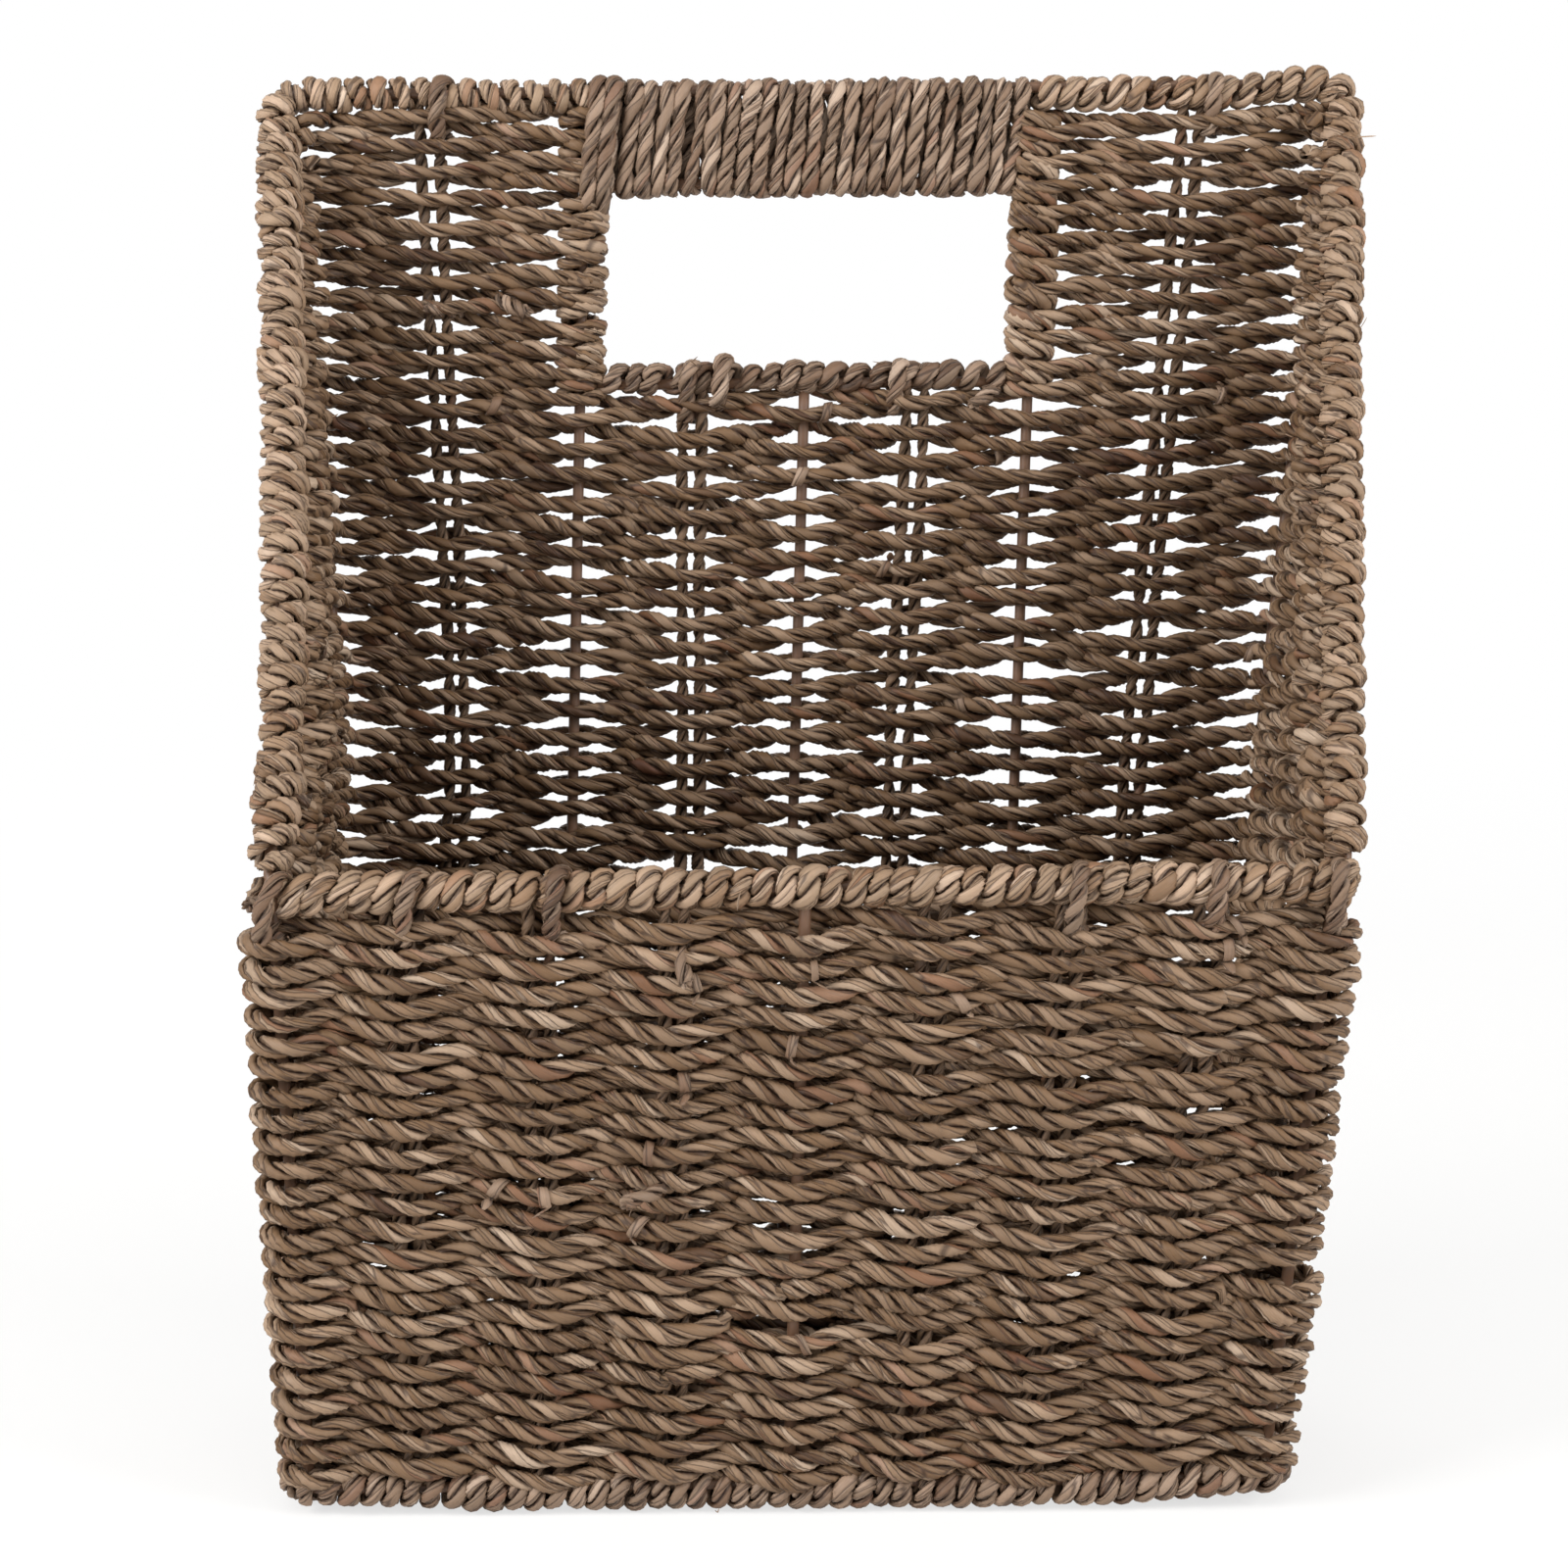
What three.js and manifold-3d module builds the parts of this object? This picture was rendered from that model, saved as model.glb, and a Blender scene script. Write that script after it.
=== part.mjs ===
import * as THREE from 'three';
import Module from 'manifold-3d';
import { mergeVertices } from 'three/addons/utils/BufferGeometryUtils.js';

// A seagrass magazine basket woven over a wire frame, in millimetres with +Z up.
// The low front faces -Y, and the origin is on the ground under the middle of the basket.

const wasm = await Module();
wasm.setup();

// Frame sizes, between the centre lines of its wires
const baseFrameWidth = 269.5;
const rimFrameWidth = 288.5;
const topFrameWidth = 320.5;
const baseFrameDepth = 120;
const rimFrameDepth = 134;
const rimHeight = 175;
const topHeight = 397;
const cornerBend = 9;
const wireDiameter = 3.6;

// Rope and weave
const weaveThickness = 11;
const floorThickness = 9;
const floorLift = 1.2;
const stakeRopeDiameter = 3.8;
const stakeRopeSpacing = 5.4;
const boundRopeThickness = 3.5;
const boundRopeWidth = 4.4;
const boundRopeSlack = 0.45;

// Hand hole and handle, over the rope
const handHoleWidth = 125;
const handHoleHeight = 48.6;
const handleWidth = 136;
const handleBarSpacing = 26;
const jambInset = 5.3;

// Fits and cuts
const seatGap = 0.3;
const cutOverrun = 20;

// Turns of the wound ropes that show as single turns
const frontRimLoops = 22;
const handleLoops = 24;
const sillLoops = 17;

// Places of the rope stakes, as shares of the half width or of the depth at their height
const frontStakeShares = [-0.75, -0.49, -0.24, 0.24, 0.49, 0.75];
const backStakeShares = [-0.72, -0.22, 0.22, 0.72];
const sideStakeShares = [0.25, 0.5, 0.75];

// Corner counts of the swept sections
const wireSides = 8;
const bindingSides = 8;
const stakeSides = 6;
const woundSides = 5;
const bendSteps = 3;

// Colours of the two materials
const seagrassColour = 0x8a7156;
const wireColour = 0x4a382c;
const seagrassRoughness = 0.9;
const wireRoughness = 0.45;
const wireMetalness = 0.3;

// Sizes worked out from the ones above
const wireRadius = wireDiameter / 2;
const stakeRopeRadius = stakeRopeDiameter / 2;
const bindingRadius = wireRadius + boundRopeSlack + boundRopeThickness;
const bindingReach = bindingRadius + seatGap;
const woundRadius = wireRadius + boundRopeSlack + boundRopeThickness / 2;
const halfWeave = weaveThickness / 2;
const backLine = rimFrameDepth / 2;
const rimFrontLine = backLine - rimFrameDepth;
const baseFrontLine = backLine - baseFrameDepth;
const baseHeight = bindingRadius;
const weaveBottom = baseHeight + bindingReach;
const frontWeaveTop = rimHeight - bindingReach;
const wingTop = topHeight - bindingReach;
const handleBarHeight = topHeight - handleBarSpacing;
const handHoleTop = handleBarHeight - bindingRadius;
const sillHeight = handHoleTop - handHoleHeight - bindingRadius;
const backWeaveTop = sillHeight - bindingReach;
const handleSeat = handHoleTop - seatGap;
const wingEdge = handHoleWidth / 2;
const jambLine = wingEdge + jambInset;
const rimRise = topHeight - rimHeight;
const rimSlope = rimRise / rimFrameDepth;
const rimTilt = Math.atan(rimSlope);
const rimNormal = new THREE.Vector3(0, -Math.sin(rimTilt), Math.cos(rimTilt));
const acrossX = new THREE.Vector3(1, 0, 0);
const acrossY = new THREE.Vector3(0, 1, 0);
const upwards = new THREE.Vector3(0, 0, 1);
const quarterTurn = Math.PI / 2;
const eighthTurn = Math.PI / 4;

const seagrass = () => new THREE.MeshStandardMaterial({
  color: seagrassColour,
  roughness: seagrassRoughness,
  metalness: 0,
});
const paintedWire = () => new THREE.MeshStandardMaterial({
  color: wireColour,
  roughness: wireRoughness,
  metalness: wireMetalness,
});

// Half the width between the side walls' middle planes, which flare more above the front rim
function halfWidth(z) {
  if (z < rimHeight) {
    const rise = (z - baseHeight) / (rimHeight - baseHeight);
    return THREE.MathUtils.lerp(baseFrameWidth, rimFrameWidth, rise) / 2;
  }
  return THREE.MathUtils.lerp(rimFrameWidth, topFrameWidth, (z - rimHeight) / rimRise) / 2;
}

// The front wall's middle plane, which leans outwards
function frontLine(z) {
  const rise = (z - baseHeight) / (rimHeight - baseHeight);
  return THREE.MathUtils.lerp(baseFrontLine, rimFrontLine, rise);
}

// The height under a sloping side rim, where what stands in a side wall ends
function sideTop(y) {
  return rimHeight + (y - rimFrontLine) * rimSlope - bindingReach / Math.cos(rimTilt);
}

// A closed body through rings of points, with a bore where bore rings are given
function bodyThrough(rings, { closed = false, bores = null } = {}) {
  const positions = [];
  const triangles = [];
  const addRings = (list) => {
    const first = positions.length / 3;
    for (const ring of list) {
      for (const point of ring) {
        positions.push(point.x, point.y, point.z);
      }
    }
    return first;
  };
  const addSkin = (list, first, inwards) => {
    const count = list[0].length;
    const spans = closed ? list.length : list.length - 1;
    for (let i = 0; i < spans; i += 1) {
      const here = first + i * count;
      const next = first + ((i + 1) % list.length) * count;
      for (let j = 0; j < count; j += 1) {
        const k = (j + 1) % count;
        const quad = [here + j, here + k, next + k, here + j, next + k, next + j];
        triangles.push(...(inwards ? quad.reverse() : quad));
      }
    }
  };
  const outside = addRings(rings);
  addSkin(rings, outside, false);
  if (bores) {
    const inside = addRings(bores);
    const count = rings[0].length;
    addSkin(bores, inside, true);
    if (!closed) {
      for (const [ring, flip] of [[0, true], [rings.length - 1, false]]) {
        for (let j = 0; j < count; j += 1) {
          const k = (j + 1) % count;
          const [a, b] = [outside + ring * count + j, outside + ring * count + k];
          const [c, d] = [inside + ring * count + j, inside + ring * count + k];
          const quad = [a, b, d, a, d, c];
          triangles.push(...(flip ? quad.reverse() : quad));
        }
      }
    }
  } else if (!closed) {
    for (const [ring, flip] of [[0, true], [rings.length - 1, false]]) {
      for (const [a, b, c] of capTriangles(rings[ring])) {
        const first = outside + ring * rings[0].length;
        const corner = [first + a, first + b, first + c];
        triangles.push(...(flip ? corner.reverse() : corner));
      }
    }
  }
  const geometry = new THREE.BufferGeometry();
  geometry.setAttribute('position', new THREE.Float32BufferAttribute(positions, 3));
  geometry.setIndex(triangles);
  return facingOut(geometry);
}

// Triangles that close a flat ring, in the ring's own order
function capTriangles(ring) {
  const centre = new THREE.Vector3();
  ring.forEach((point) => centre.add(point));
  centre.divideScalar(ring.length);
  const normal = new THREE.Vector3();
  ring.forEach((point, i) => {
    const here = point.clone().sub(centre);
    const next = ring[(i + 1) % ring.length].clone().sub(centre);
    normal.add(here.cross(next));
  });
  normal.normalize();
  const right = ring[1].clone().sub(ring[0]).projectOnPlane(normal).normalize();
  const ahead = normal.clone().cross(right);
  const outline = ring.map((point) => {
    const here = point.clone().sub(centre);
    return new THREE.Vector2(here.dot(right), here.dot(ahead));
  });
  return THREE.ShapeUtils.triangulateShape(outline, []);
}

// Turns every face outwards if the body came out inside out
function facingOut(geometry) {
  const place = geometry.attributes.position;
  const index = geometry.index.array;
  const [a, b, c] = [new THREE.Vector3(), new THREE.Vector3(), new THREE.Vector3()];
  let volume = 0;
  for (let i = 0; i < index.length; i += 3) {
    a.fromBufferAttribute(place, index[i]);
    b.fromBufferAttribute(place, index[i + 1]);
    c.fromBufferAttribute(place, index[i + 2]);
    volume += a.dot(b.cross(c));
  }
  if (volume < 0) {
    geometry.setIndex(Array.from(index).reverse());
  }
  return geometry;
}

function toSolid(geometry) {
  const merged = mergeVertices(geometry);
  return new wasm.Manifold(new wasm.Mesh({
    numProp: 3,
    vertProperties: merged.attributes.position.array,
    triVerts: new Uint32Array(merged.index.array),
  }));
}

function fromSolid(solid) {
  const mesh = solid.getMesh();
  const geometry = new THREE.BufferGeometry();
  geometry.setAttribute('position', new THREE.BufferAttribute(mesh.vertProperties, 3));
  geometry.setIndex(new THREE.BufferAttribute(mesh.triVerts, 1));
  return geometry;
}

// One body less all the cutters
function cutAway(geometry, cutters) {
  let solid = toSolid(geometry);
  for (const cutter of cutters) {
    solid = solid.subtract(toSolid(cutter));
  }
  return fromSolid(solid);
}

// A regular section whose flat sides lie at the given radius
function flatSection(radius, sides) {
  const reach = radius / Math.cos(Math.PI / sides);
  return Array.from({ length: sides }, (_, i) => {
    const angle = ((i + 0.5) * 2 * Math.PI) / sides;
    return [reach * Math.cos(angle), reach * Math.sin(angle)];
  });
}

// A regular section whose corners lie at the given radius
function roundSection(radius, sides) {
  return flatSection(radius * Math.cos(Math.PI / sides), sides);
}

// The rings of a section carried along a path, mitred where the path turns in the plane of the hint
function sweptRings(path, hint, section, closed = false) {
  return path.map((point, i) => {
    const last = path.length - 1;
    const before = closed || i > 0 ? path[(i + last) % path.length] : point;
    const after = closed || i < last ? path[(i + 1) % path.length] : point;
    const arriving = point.clone().sub(before).normalize();
    const leaving = after.clone().sub(point).normalize();
    const ahead = arriving.clone().add(leaving).normalize();
    const straight = arriving.lengthSq() > 0 ? arriving : leaving;
    const side = ahead.clone().cross(hint).normalize();
    const out = side.clone().cross(ahead);
    const mitre = 1 / ahead.dot(straight);
    return section.map(([a, b]) => point.clone().addScaledVector(out, a).addScaledVector(side, b * mitre));
  });
}

function tube(path, hint, section, { closed = false, bore = null } = {}) {
  const rings = sweptRings(path, hint, section, closed);
  const bores = bore ? sweptRings(path, hint, bore, closed) : null;
  return bodyThrough(rings, { closed, bores });
}

// A path whose inner corners are bent to the frame's radius
function bentPath(points, closed = false) {
  const path = [];
  points.forEach((point, i) => {
    const last = points.length - 1;
    if (!closed && (i === 0 || i === last)) {
      path.push(point);
      return;
    }
    const back = points[(i + last) % points.length].clone().sub(point).normalize();
    const on = points[(i + 1) % points.length].clone().sub(point).normalize();
    const halfAngle = back.angleTo(on) / 2;
    const centre = back.clone().add(on).normalize().multiplyScalar(cornerBend / Math.sin(halfAngle)).add(point);
    const start = back.clone().multiplyScalar(cornerBend / Math.tan(halfAngle)).add(point).sub(centre);
    const end = on.clone().multiplyScalar(cornerBend / Math.tan(halfAngle)).add(point).sub(centre);
    const turn = start.angleTo(end);
    for (let k = 0; k <= bendSteps; k += 1) {
      const share = k / bendSteps;
      const arm = start.clone().multiplyScalar(Math.sin((1 - share) * turn))
        .addScaledVector(end, Math.sin(share * turn)).divideScalar(Math.sin(turn));
      path.push(arm.add(centre));
    }
  });
  return path;
}

const basket = new THREE.Group();

function addPiece(name, geometry, material) {
  const mesh = new THREE.Mesh(geometry, material);
  mesh.name = name;
  basket.add(mesh);
}

// The rounded plan of the basket at one height
const walls = {
  front: { facing: -quarterTurn, from: [-1, -1], to: [1, -1] },
  right: { facing: 0, from: [1, -1], to: [1, 1] },
  back: { facing: quarterTurn, from: [1, 1], to: [-1, 1] },
  left: { facing: 2 * quarterTurn, from: [-1, 1], to: [-1, -1] },
};

// The centre that a corner of the plan bends round
function bendCentre(z, [sideX, sideY]) {
  const y = sideY > 0 ? backLine - cornerBend : frontLine(z) + cornerBend;
  return new THREE.Vector3(sideX * (halfWidth(z) - cornerBend), y, z);
}

function onBend(z, corner, radius, angle) {
  const arm = new THREE.Vector3(Math.cos(angle), Math.sin(angle), 0).multiplyScalar(radius);
  return bendCentre(z, corner).add(arm);
}

// One face of a wall from mitre to mitre, as far out from the plan's middle line as the offset says
function wallFace(z, { facing, from, to }, offset) {
  const radius = cornerBend + offset;
  const inset = seatGap / 2 / radius;
  const angles = [eighthTurn - inset, eighthTurn / 2, 0];
  return [
    ...angles.map((angle) => onBend(z, from, radius, facing - angle)),
    ...angles.reverse().map((angle) => onBend(z, to, radius, facing + angle)),
  ];
}

function wallRing(z, wall) {
  return [...wallFace(z, wall, halfWeave), ...wallFace(z, wall, -halfWeave).reverse()];
}

// The straight run of a wall's middle plane, at a share of the half width
function acrossWall(z, share, line) {
  return new THREE.Vector3(share * halfWidth(z), line, z);
}

// A slot of rectangular section along a centre line, cut through what the line passes
function slot(centreLine, across, halfAcross, through, halfThrough) {
  return bodyThrough(centreLine.map((point) => [[-1, -1], [1, -1], [1, 1], [-1, 1]].map(([a, b]) => (
    point.clone().addScaledVector(across, a * halfAcross).addScaledVector(through, b * halfThrough)
  ))));
}

// The centre line carried on past both its ends
function overrunLine(centreLine) {
  const [first, second] = centreLine;
  const [before, last] = centreLine.slice(-2);
  const start = first.clone().sub(second).setLength(cutOverrun).add(first);
  const end = last.clone().sub(before).setLength(cutOverrun).add(last);
  return [start, ...centreLine, end];
}

// A doubled rope folded over at the top, which the rows are woven round
const stakePieces = [];
function addStake(name, centreLine, across, through) {
  const fold = stakeRopeSpacing / 2;
  const line = centreLine.map((point) => point.clone());
  const top = line.at(-1);
  const climb = top.clone().sub(line.at(-2)).normalize();
  top.addScaledVector(climb, -(fold + stakeRopeRadius));
  const up = line.map((point) => point.clone().addScaledVector(across, -fold));
  const down = line.map((point) => point.clone().addScaledVector(across, fold)).reverse();
  const over = [];
  for (let k = 1; k < bendSteps + 1; k += 1) {
    const angle = Math.PI * (1 - k / (bendSteps + 1));
    over.push(top.clone().addScaledVector(across, fold * Math.cos(angle))
      .addScaledVector(climb, fold * Math.sin(angle)));
  }
  const section = roundSection(stakeRopeRadius, stakeSides);
  addPiece(name, tube([...up, ...over, ...down], through, section), seagrass());
  stakePieces.push(name);
  const room = stakeRopeRadius + seatGap;
  return slot(overrunLine(centreLine), across, fold + room, through, room);
}

// A straight or slightly bent wire of the frame
function addWire(name, centreLine, hint) {
  addPiece(name, tube(centreLine, hint, roundSection(wireRadius, wireSides)), paintedWire());
  return tube(overrunLine(centreLine), hint, flatSection(wireRadius + seatGap, wireSides));
}

// The two closed wires of the frame: the rim that slopes from the top rail to the low front, and the base
const rimCorners = [
  new THREE.Vector3(-rimFrameWidth / 2, rimFrontLine, rimHeight),
  new THREE.Vector3(rimFrameWidth / 2, rimFrontLine, rimHeight),
  new THREE.Vector3(topFrameWidth / 2, backLine, topHeight),
  new THREE.Vector3(-topFrameWidth / 2, backLine, topHeight),
];
const baseCorners = [[-1, -1], [1, -1], [1, 1], [-1, 1]];
const basePath = baseCorners.flatMap((corner, i) => {
  const start = Math.PI + i * quarterTurn;
  return Array.from({ length: bendSteps + 1 }, (_, k) => (
    onBend(baseHeight, corner, cornerBend, start + (k / bendSteps) * quarterTurn)
  ));
});
addPiece(
  'rim_frame_wire',
  tube(bentPath(rimCorners, true), rimNormal, roundSection(wireRadius, wireSides), { closed: true }),
  paintedWire(),
);
addPiece(
  'base_frame_wire',
  tube(basePath, upwards, roundSection(wireRadius, wireSides), { closed: true }),
  paintedWire(),
);

// Uprights at the corners, which stand in the bend where two walls meet
const cornerCuts = {};
for (const [name, corner] of [
  ['front_left', [-1, -1]], ['front_right', [1, -1]], ['back_right', [1, 1]], ['back_left', [-1, 1]],
]) {
  const angle = Math.atan2(corner[1], corner[0]);
  const at = (z) => onBend(z, corner, cornerBend, angle);
  const nearTop = sideTop(at(corner[1] > 0 ? topHeight : rimHeight).y - wireRadius);
  const top = Math.min(nearTop, corner[1] > 0 ? wingTop : frontWeaveTop);
  const line = top > rimHeight ? [at(weaveBottom), at(rimHeight), at(top)] : [at(weaveBottom), at(top)];
  cornerCuts[name] = addWire(`corner_post_${name}`, line, acrossY);
}

// Front wall with its stakes and the plain upright in its middle
const frontCuts = [cornerCuts.front_left, cornerCuts.front_right];
frontStakeShares.forEach((share, i) => {
  const line = [weaveBottom, frontWeaveTop].map((z) => acrossWall(z, share, frontLine(z)));
  frontCuts.push(addStake(`front_stake_${i + 1}`, line, acrossX, acrossY));
});
const frontMiddle = [weaveBottom, frontWeaveTop].map((z) => acrossWall(z, 0, frontLine(z)));
frontCuts.push(addWire('front_centre_post', frontMiddle, acrossY));
const frontRings = [weaveBottom, frontWeaveTop].map((z) => wallRing(z, walls.front));
addPiece('front_weave', cutAway(bodyThrough(frontRings), frontCuts), seagrass());

// Back wall up to the sill of the hand hole
const backCuts = [cornerCuts.back_left, cornerCuts.back_right];
const wingCuts = [cornerCuts.back_left, cornerCuts.back_right];
backStakeShares.forEach((share, i) => {
  const beside = Math.abs(share) * halfWidth(sillHeight) > jambLine;
  const heights = beside ? [weaveBottom, rimHeight, wingTop] : [weaveBottom, rimHeight, backWeaveTop];
  const cut = addStake(
    `back_stake_${i + 1}`,
    heights.map((z) => acrossWall(z, share, backLine)),
    acrossX,
    acrossY,
  );
  backCuts.push(cut);
  wingCuts.push(cut);
});
const backMiddle = [weaveBottom, backWeaveTop].map((z) => acrossWall(z, 0, backLine));
backCuts.push(addWire('back_centre_post', backMiddle, acrossY));
for (const [name, side] of [['left', -1], ['right', 1]]) {
  const line = [weaveBottom, handleSeat].map((z) => new THREE.Vector3(side * jambLine, backLine, z));
  const cut = addWire(`hand_hole_jamb_${name}`, line, acrossY);
  backCuts.push(cut);
  wingCuts.push(cut);
}
const backRings = [weaveBottom, rimHeight, backWeaveTop].map((z) => wallRing(z, walls.back));
addPiece('back_weave', cutAway(bodyThrough(backRings), backCuts), seagrass());

// Bindings of the sloping side rims, which run round both corners at their ends
const sideBindings = {};
for (const [name, side] of [['left', -1], ['right', 1]]) {
  const front = rimCorners[side > 0 ? 1 : 0];
  const top = rimCorners[side > 0 ? 2 : 3];
  const start = front.clone().addScaledVector(acrossX, -side * (2 * cornerBend));
  const end = top.clone().addScaledVector(acrossX, -side * (2 * cornerBend));
  sideBindings[name] = bentPath([start, front, top, end]);
  addPiece(
    `${name}_side_rim_binding`,
    tube(sideBindings[name], rimNormal, roundSection(bindingRadius, bindingSides), {
      bore: flatSection(wireRadius + seatGap, bindingSides),
    }),
    seagrass(),
  );
}

// The two wings of weave beside the hand hole, cut back under the handle and the side rims
const wingBottom = backWeaveTop + seatGap;
for (const [name, side] of [['left', -1], ['right', 1]]) {
  const ring = (z) => {
    const faces = [halfWeave, -halfWeave].map((offset) => {
      const face = wallFace(z, walls.back, offset).filter((point) => point.x * side > 0);
      const edge = new THREE.Vector3(side * wingEdge, backLine + offset, z);
      return side > 0 ? [...face, edge] : [edge, ...face];
    });
    return [...faces[0], ...faces[1].reverse()];
  };
  const handleRoom = new THREE.BoxGeometry(handleWidth + 2 * seatGap, 2 * weaveThickness, handleBarSpacing);
  handleRoom.translate(0, backLine, handleSeat + handleBarSpacing / 2);
  const rimRoom = tube(sideBindings[name], rimNormal, flatSection(bindingReach, bindingSides));
  const blank = bodyThrough([wingBottom, wingTop].map(ring));
  handleRoom.deleteAttribute('normal');
  handleRoom.deleteAttribute('uv');
  addPiece(`back_wing_${name}`, cutAway(blank, [...wingCuts, handleRoom, rimRoom]), seagrass());
}

// Side walls, cut off along the slope under the side rims
for (const [name, side] of [['left', -1], ['right', 1]]) {
  const cuts = [cornerCuts[`front_${name}`], cornerCuts[`back_${name}`]];
  sideStakeShares.forEach((share, i) => {
    const y = THREE.MathUtils.lerp(rimFrontLine, backLine, share);
    const reach = stakeRopeSpacing / 2 + stakeRopeRadius;
    const line = [weaveBottom, rimHeight, sideTop(y - reach)].map((z) => (
      new THREE.Vector3(side * halfWidth(z), y, z)
    ));
    cuts.push(addStake(`${name}_side_stake_${i + 1}`, line, acrossY, acrossX));
  });
  const above = topHeight + cutOverrun;
  const rows = [-topFrameWidth, topFrameWidth].map((x) => [
    new THREE.Vector3(x, rimFrontLine - cutOverrun, sideTop(rimFrontLine - cutOverrun)),
    new THREE.Vector3(x, backLine + cutOverrun, sideTop(backLine + cutOverrun)),
    new THREE.Vector3(x, backLine + cutOverrun, above + cutOverrun * rimSlope),
    new THREE.Vector3(x, rimFrontLine - cutOverrun, above + cutOverrun * rimSlope),
  ]);
  cuts.push(bodyThrough(rows));
  const rings = [weaveBottom, rimHeight, wingTop].map((z) => wallRing(z, walls[name]));
  addPiece(`${name}_side_weave`, cutAway(bodyThrough(rings), cuts), seagrass());
}

// Bindings of the base, each from the middle of one corner to the middle of the next
for (const [name, wall] of Object.entries(walls)) {
  const ringsOf = (section) => wallFace(baseHeight, wall, 0).map((_, i) => section.map(([up, out]) => (
    wallFace(baseHeight, wall, out)[i].setZ(baseHeight + up)
  )));
  const rings = ringsOf(flatSection(bindingRadius, bindingSides));
  const bores = ringsOf(flatSection(wireRadius + seatGap, bindingSides));
  addPiece(`base_binding_${name}`, bodyThrough(rings, { bores }), seagrass());
}

// Floor inside the base binding, woven over doubled ropes and one cross wire
const floorMiddle = floorLift + floorThickness / 2;
const floorFront = baseFrontLine + bindingReach;
const floorBack = backLine - bindingReach;
const floorCuts = [];
frontStakeShares.forEach((share, i) => {
  const x = share * halfWidth(baseHeight);
  const line = [floorFront, floorBack].map((y) => new THREE.Vector3(x, y, floorMiddle));
  floorCuts.push(addStake(`floor_stake_${i + 1}`, line, acrossX, upwards));
});
const floorLine = [floorFront, floorBack].map((y) => new THREE.Vector3(0, y, floorMiddle));
floorCuts.push(addWire('floor_cross_wire', floorLine, upwards));
const floorRings = [floorLift, floorLift + floorThickness].map((z) => baseCorners.flatMap((corner, i) => {
  const start = Math.PI + i * quarterTurn;
  return Array.from({ length: bendSteps }, (_, k) => {
    const arm = onBend(baseHeight, corner, cornerBend - bindingReach, start + (k / (bendSteps - 1)) * quarterTurn);
    return arm.setZ(z);
  });
}));
addPiece('floor_weave', cutAway(bodyThrough(floorRings), floorCuts), seagrass());

// Straight binding of the top rail on each side of the handle
for (const [name, side] of [['left', -1], ['right', 1]]) {
  const outer = topFrameWidth / 2 - 2 * cornerBend - seatGap;
  const inner = handleWidth / 2 + seatGap;
  const line = [inner, outer].map((x) => new THREE.Vector3(side * x, backLine, topHeight));
  addPiece(
    `top_rail_binding_${name}`,
    tube(line, upwards, roundSection(bindingRadius, bindingSides), {
      bore: flatSection(wireRadius + seatGap, bindingSides),
    }),
    seagrass(),
  );
}

// Bars that only carry rope: the lower bar of the handle and the sill under the hand hole
const handleBarLine = [-1, 1].map((side) => (
  new THREE.Vector3((side * handleWidth) / 2, backLine, handleBarHeight)
));
const sillLine = [-1, 1].map((side) => (
  new THREE.Vector3(side * (wingEdge - seatGap), backLine, sillHeight)
));
addWire('handle_lower_bar', handleBarLine, upwards);
addWire('sill_wire', sillLine, upwards);

// One turn of a wound rope, up the front of the lower bar, over the upper bar and down the back
function turnPlaces(barSpacing) {
  const places = [];
  for (let k = 0; k < 8; k += 1) {
    const angle = k * eighthTurn;
    const outward = new THREE.Vector3(0, -Math.cos(angle), Math.sin(angle));
    const lower = outward.clone().multiplyScalar(woundRadius);
    const upper = lower.clone().addScaledVector(upwards, barSpacing);
    const bothBars = barSpacing > 0 && k % 4 === 0;
    if (bothBars) {
      const [first, second] = k === 0 ? [lower, upper] : [upper, lower];
      places.push({ place: first, outward }, { place: second, outward });
    } else {
      places.push({ place: k < 4 ? upper : lower, outward });
    }
  }
  return places;
}

// A rope wound on one bar, or round two, as one tube whose ends run straight down to their seat
function addWinding(name, { from, to, line, height, barSpacing, loops, seat }) {
  const places = turnPlaces(barSpacing);
  const steps = (loops + 0.5) * places.length;
  const margin = boundRopeWidth / 2;
  const path = [];
  for (let i = 0; i <= steps; i += 1) {
    const { place, outward } = places[i % places.length];
    const x = THREE.MathUtils.lerp(from + margin, to - margin, i / steps);
    path.push({ point: new THREE.Vector3(x, line, height).add(place), outward });
  }
  for (const end of [path[0], path.at(-1)]) {
    const tip = { point: end.point.clone().setZ(seat + seatGap), outward: end.outward };
    if (end === path[0]) {
      path.unshift(tip);
    } else {
      path.push(tip);
    }
  }
  const rings = path.map(({ point, outward }, i) => {
    const before = path[Math.max(i - 1, 0)].point;
    const after = path[Math.min(i + 1, path.length - 1)].point;
    const ahead = after.clone().sub(before).normalize();
    const side = ahead.clone().cross(outward).normalize();
    const out = side.clone().cross(ahead);
    return roundSection(1, woundSides).map(([a, b]) => point.clone()
      .addScaledVector(out, (a * boundRopeThickness) / 2)
      .addScaledVector(side, (b * boundRopeWidth) / 2));
  });
  addPiece(name, bodyThrough(rings), seagrass());
  console.log(`${name}: least gap to itself ${leastGap(path, places.length).toFixed(2)} mm`);
}

// The least gap between turns, from points between the rings, taking the rope's full width each way
function leastGap(path, turnLength) {
  const samples = [];
  const parts = 4;
  for (let i = 0; i < path.length - 1; i += 1) {
    for (let k = 0; k < parts; k += 1) {
      const point = path[i].point.clone().lerp(path[i + 1].point, k / parts);
      samples.push({ point, turn: (i + k / parts) / turnLength });
    }
  }
  let least = Infinity;
  samples.forEach((one, i) => {
    for (const other of samples.slice(i + 1)) {
      if (other.turn - one.turn > 0.5) {
        least = Math.min(least, one.point.distanceTo(other.point) - boundRopeWidth);
      }
    }
  });
  return least;
}

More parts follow.
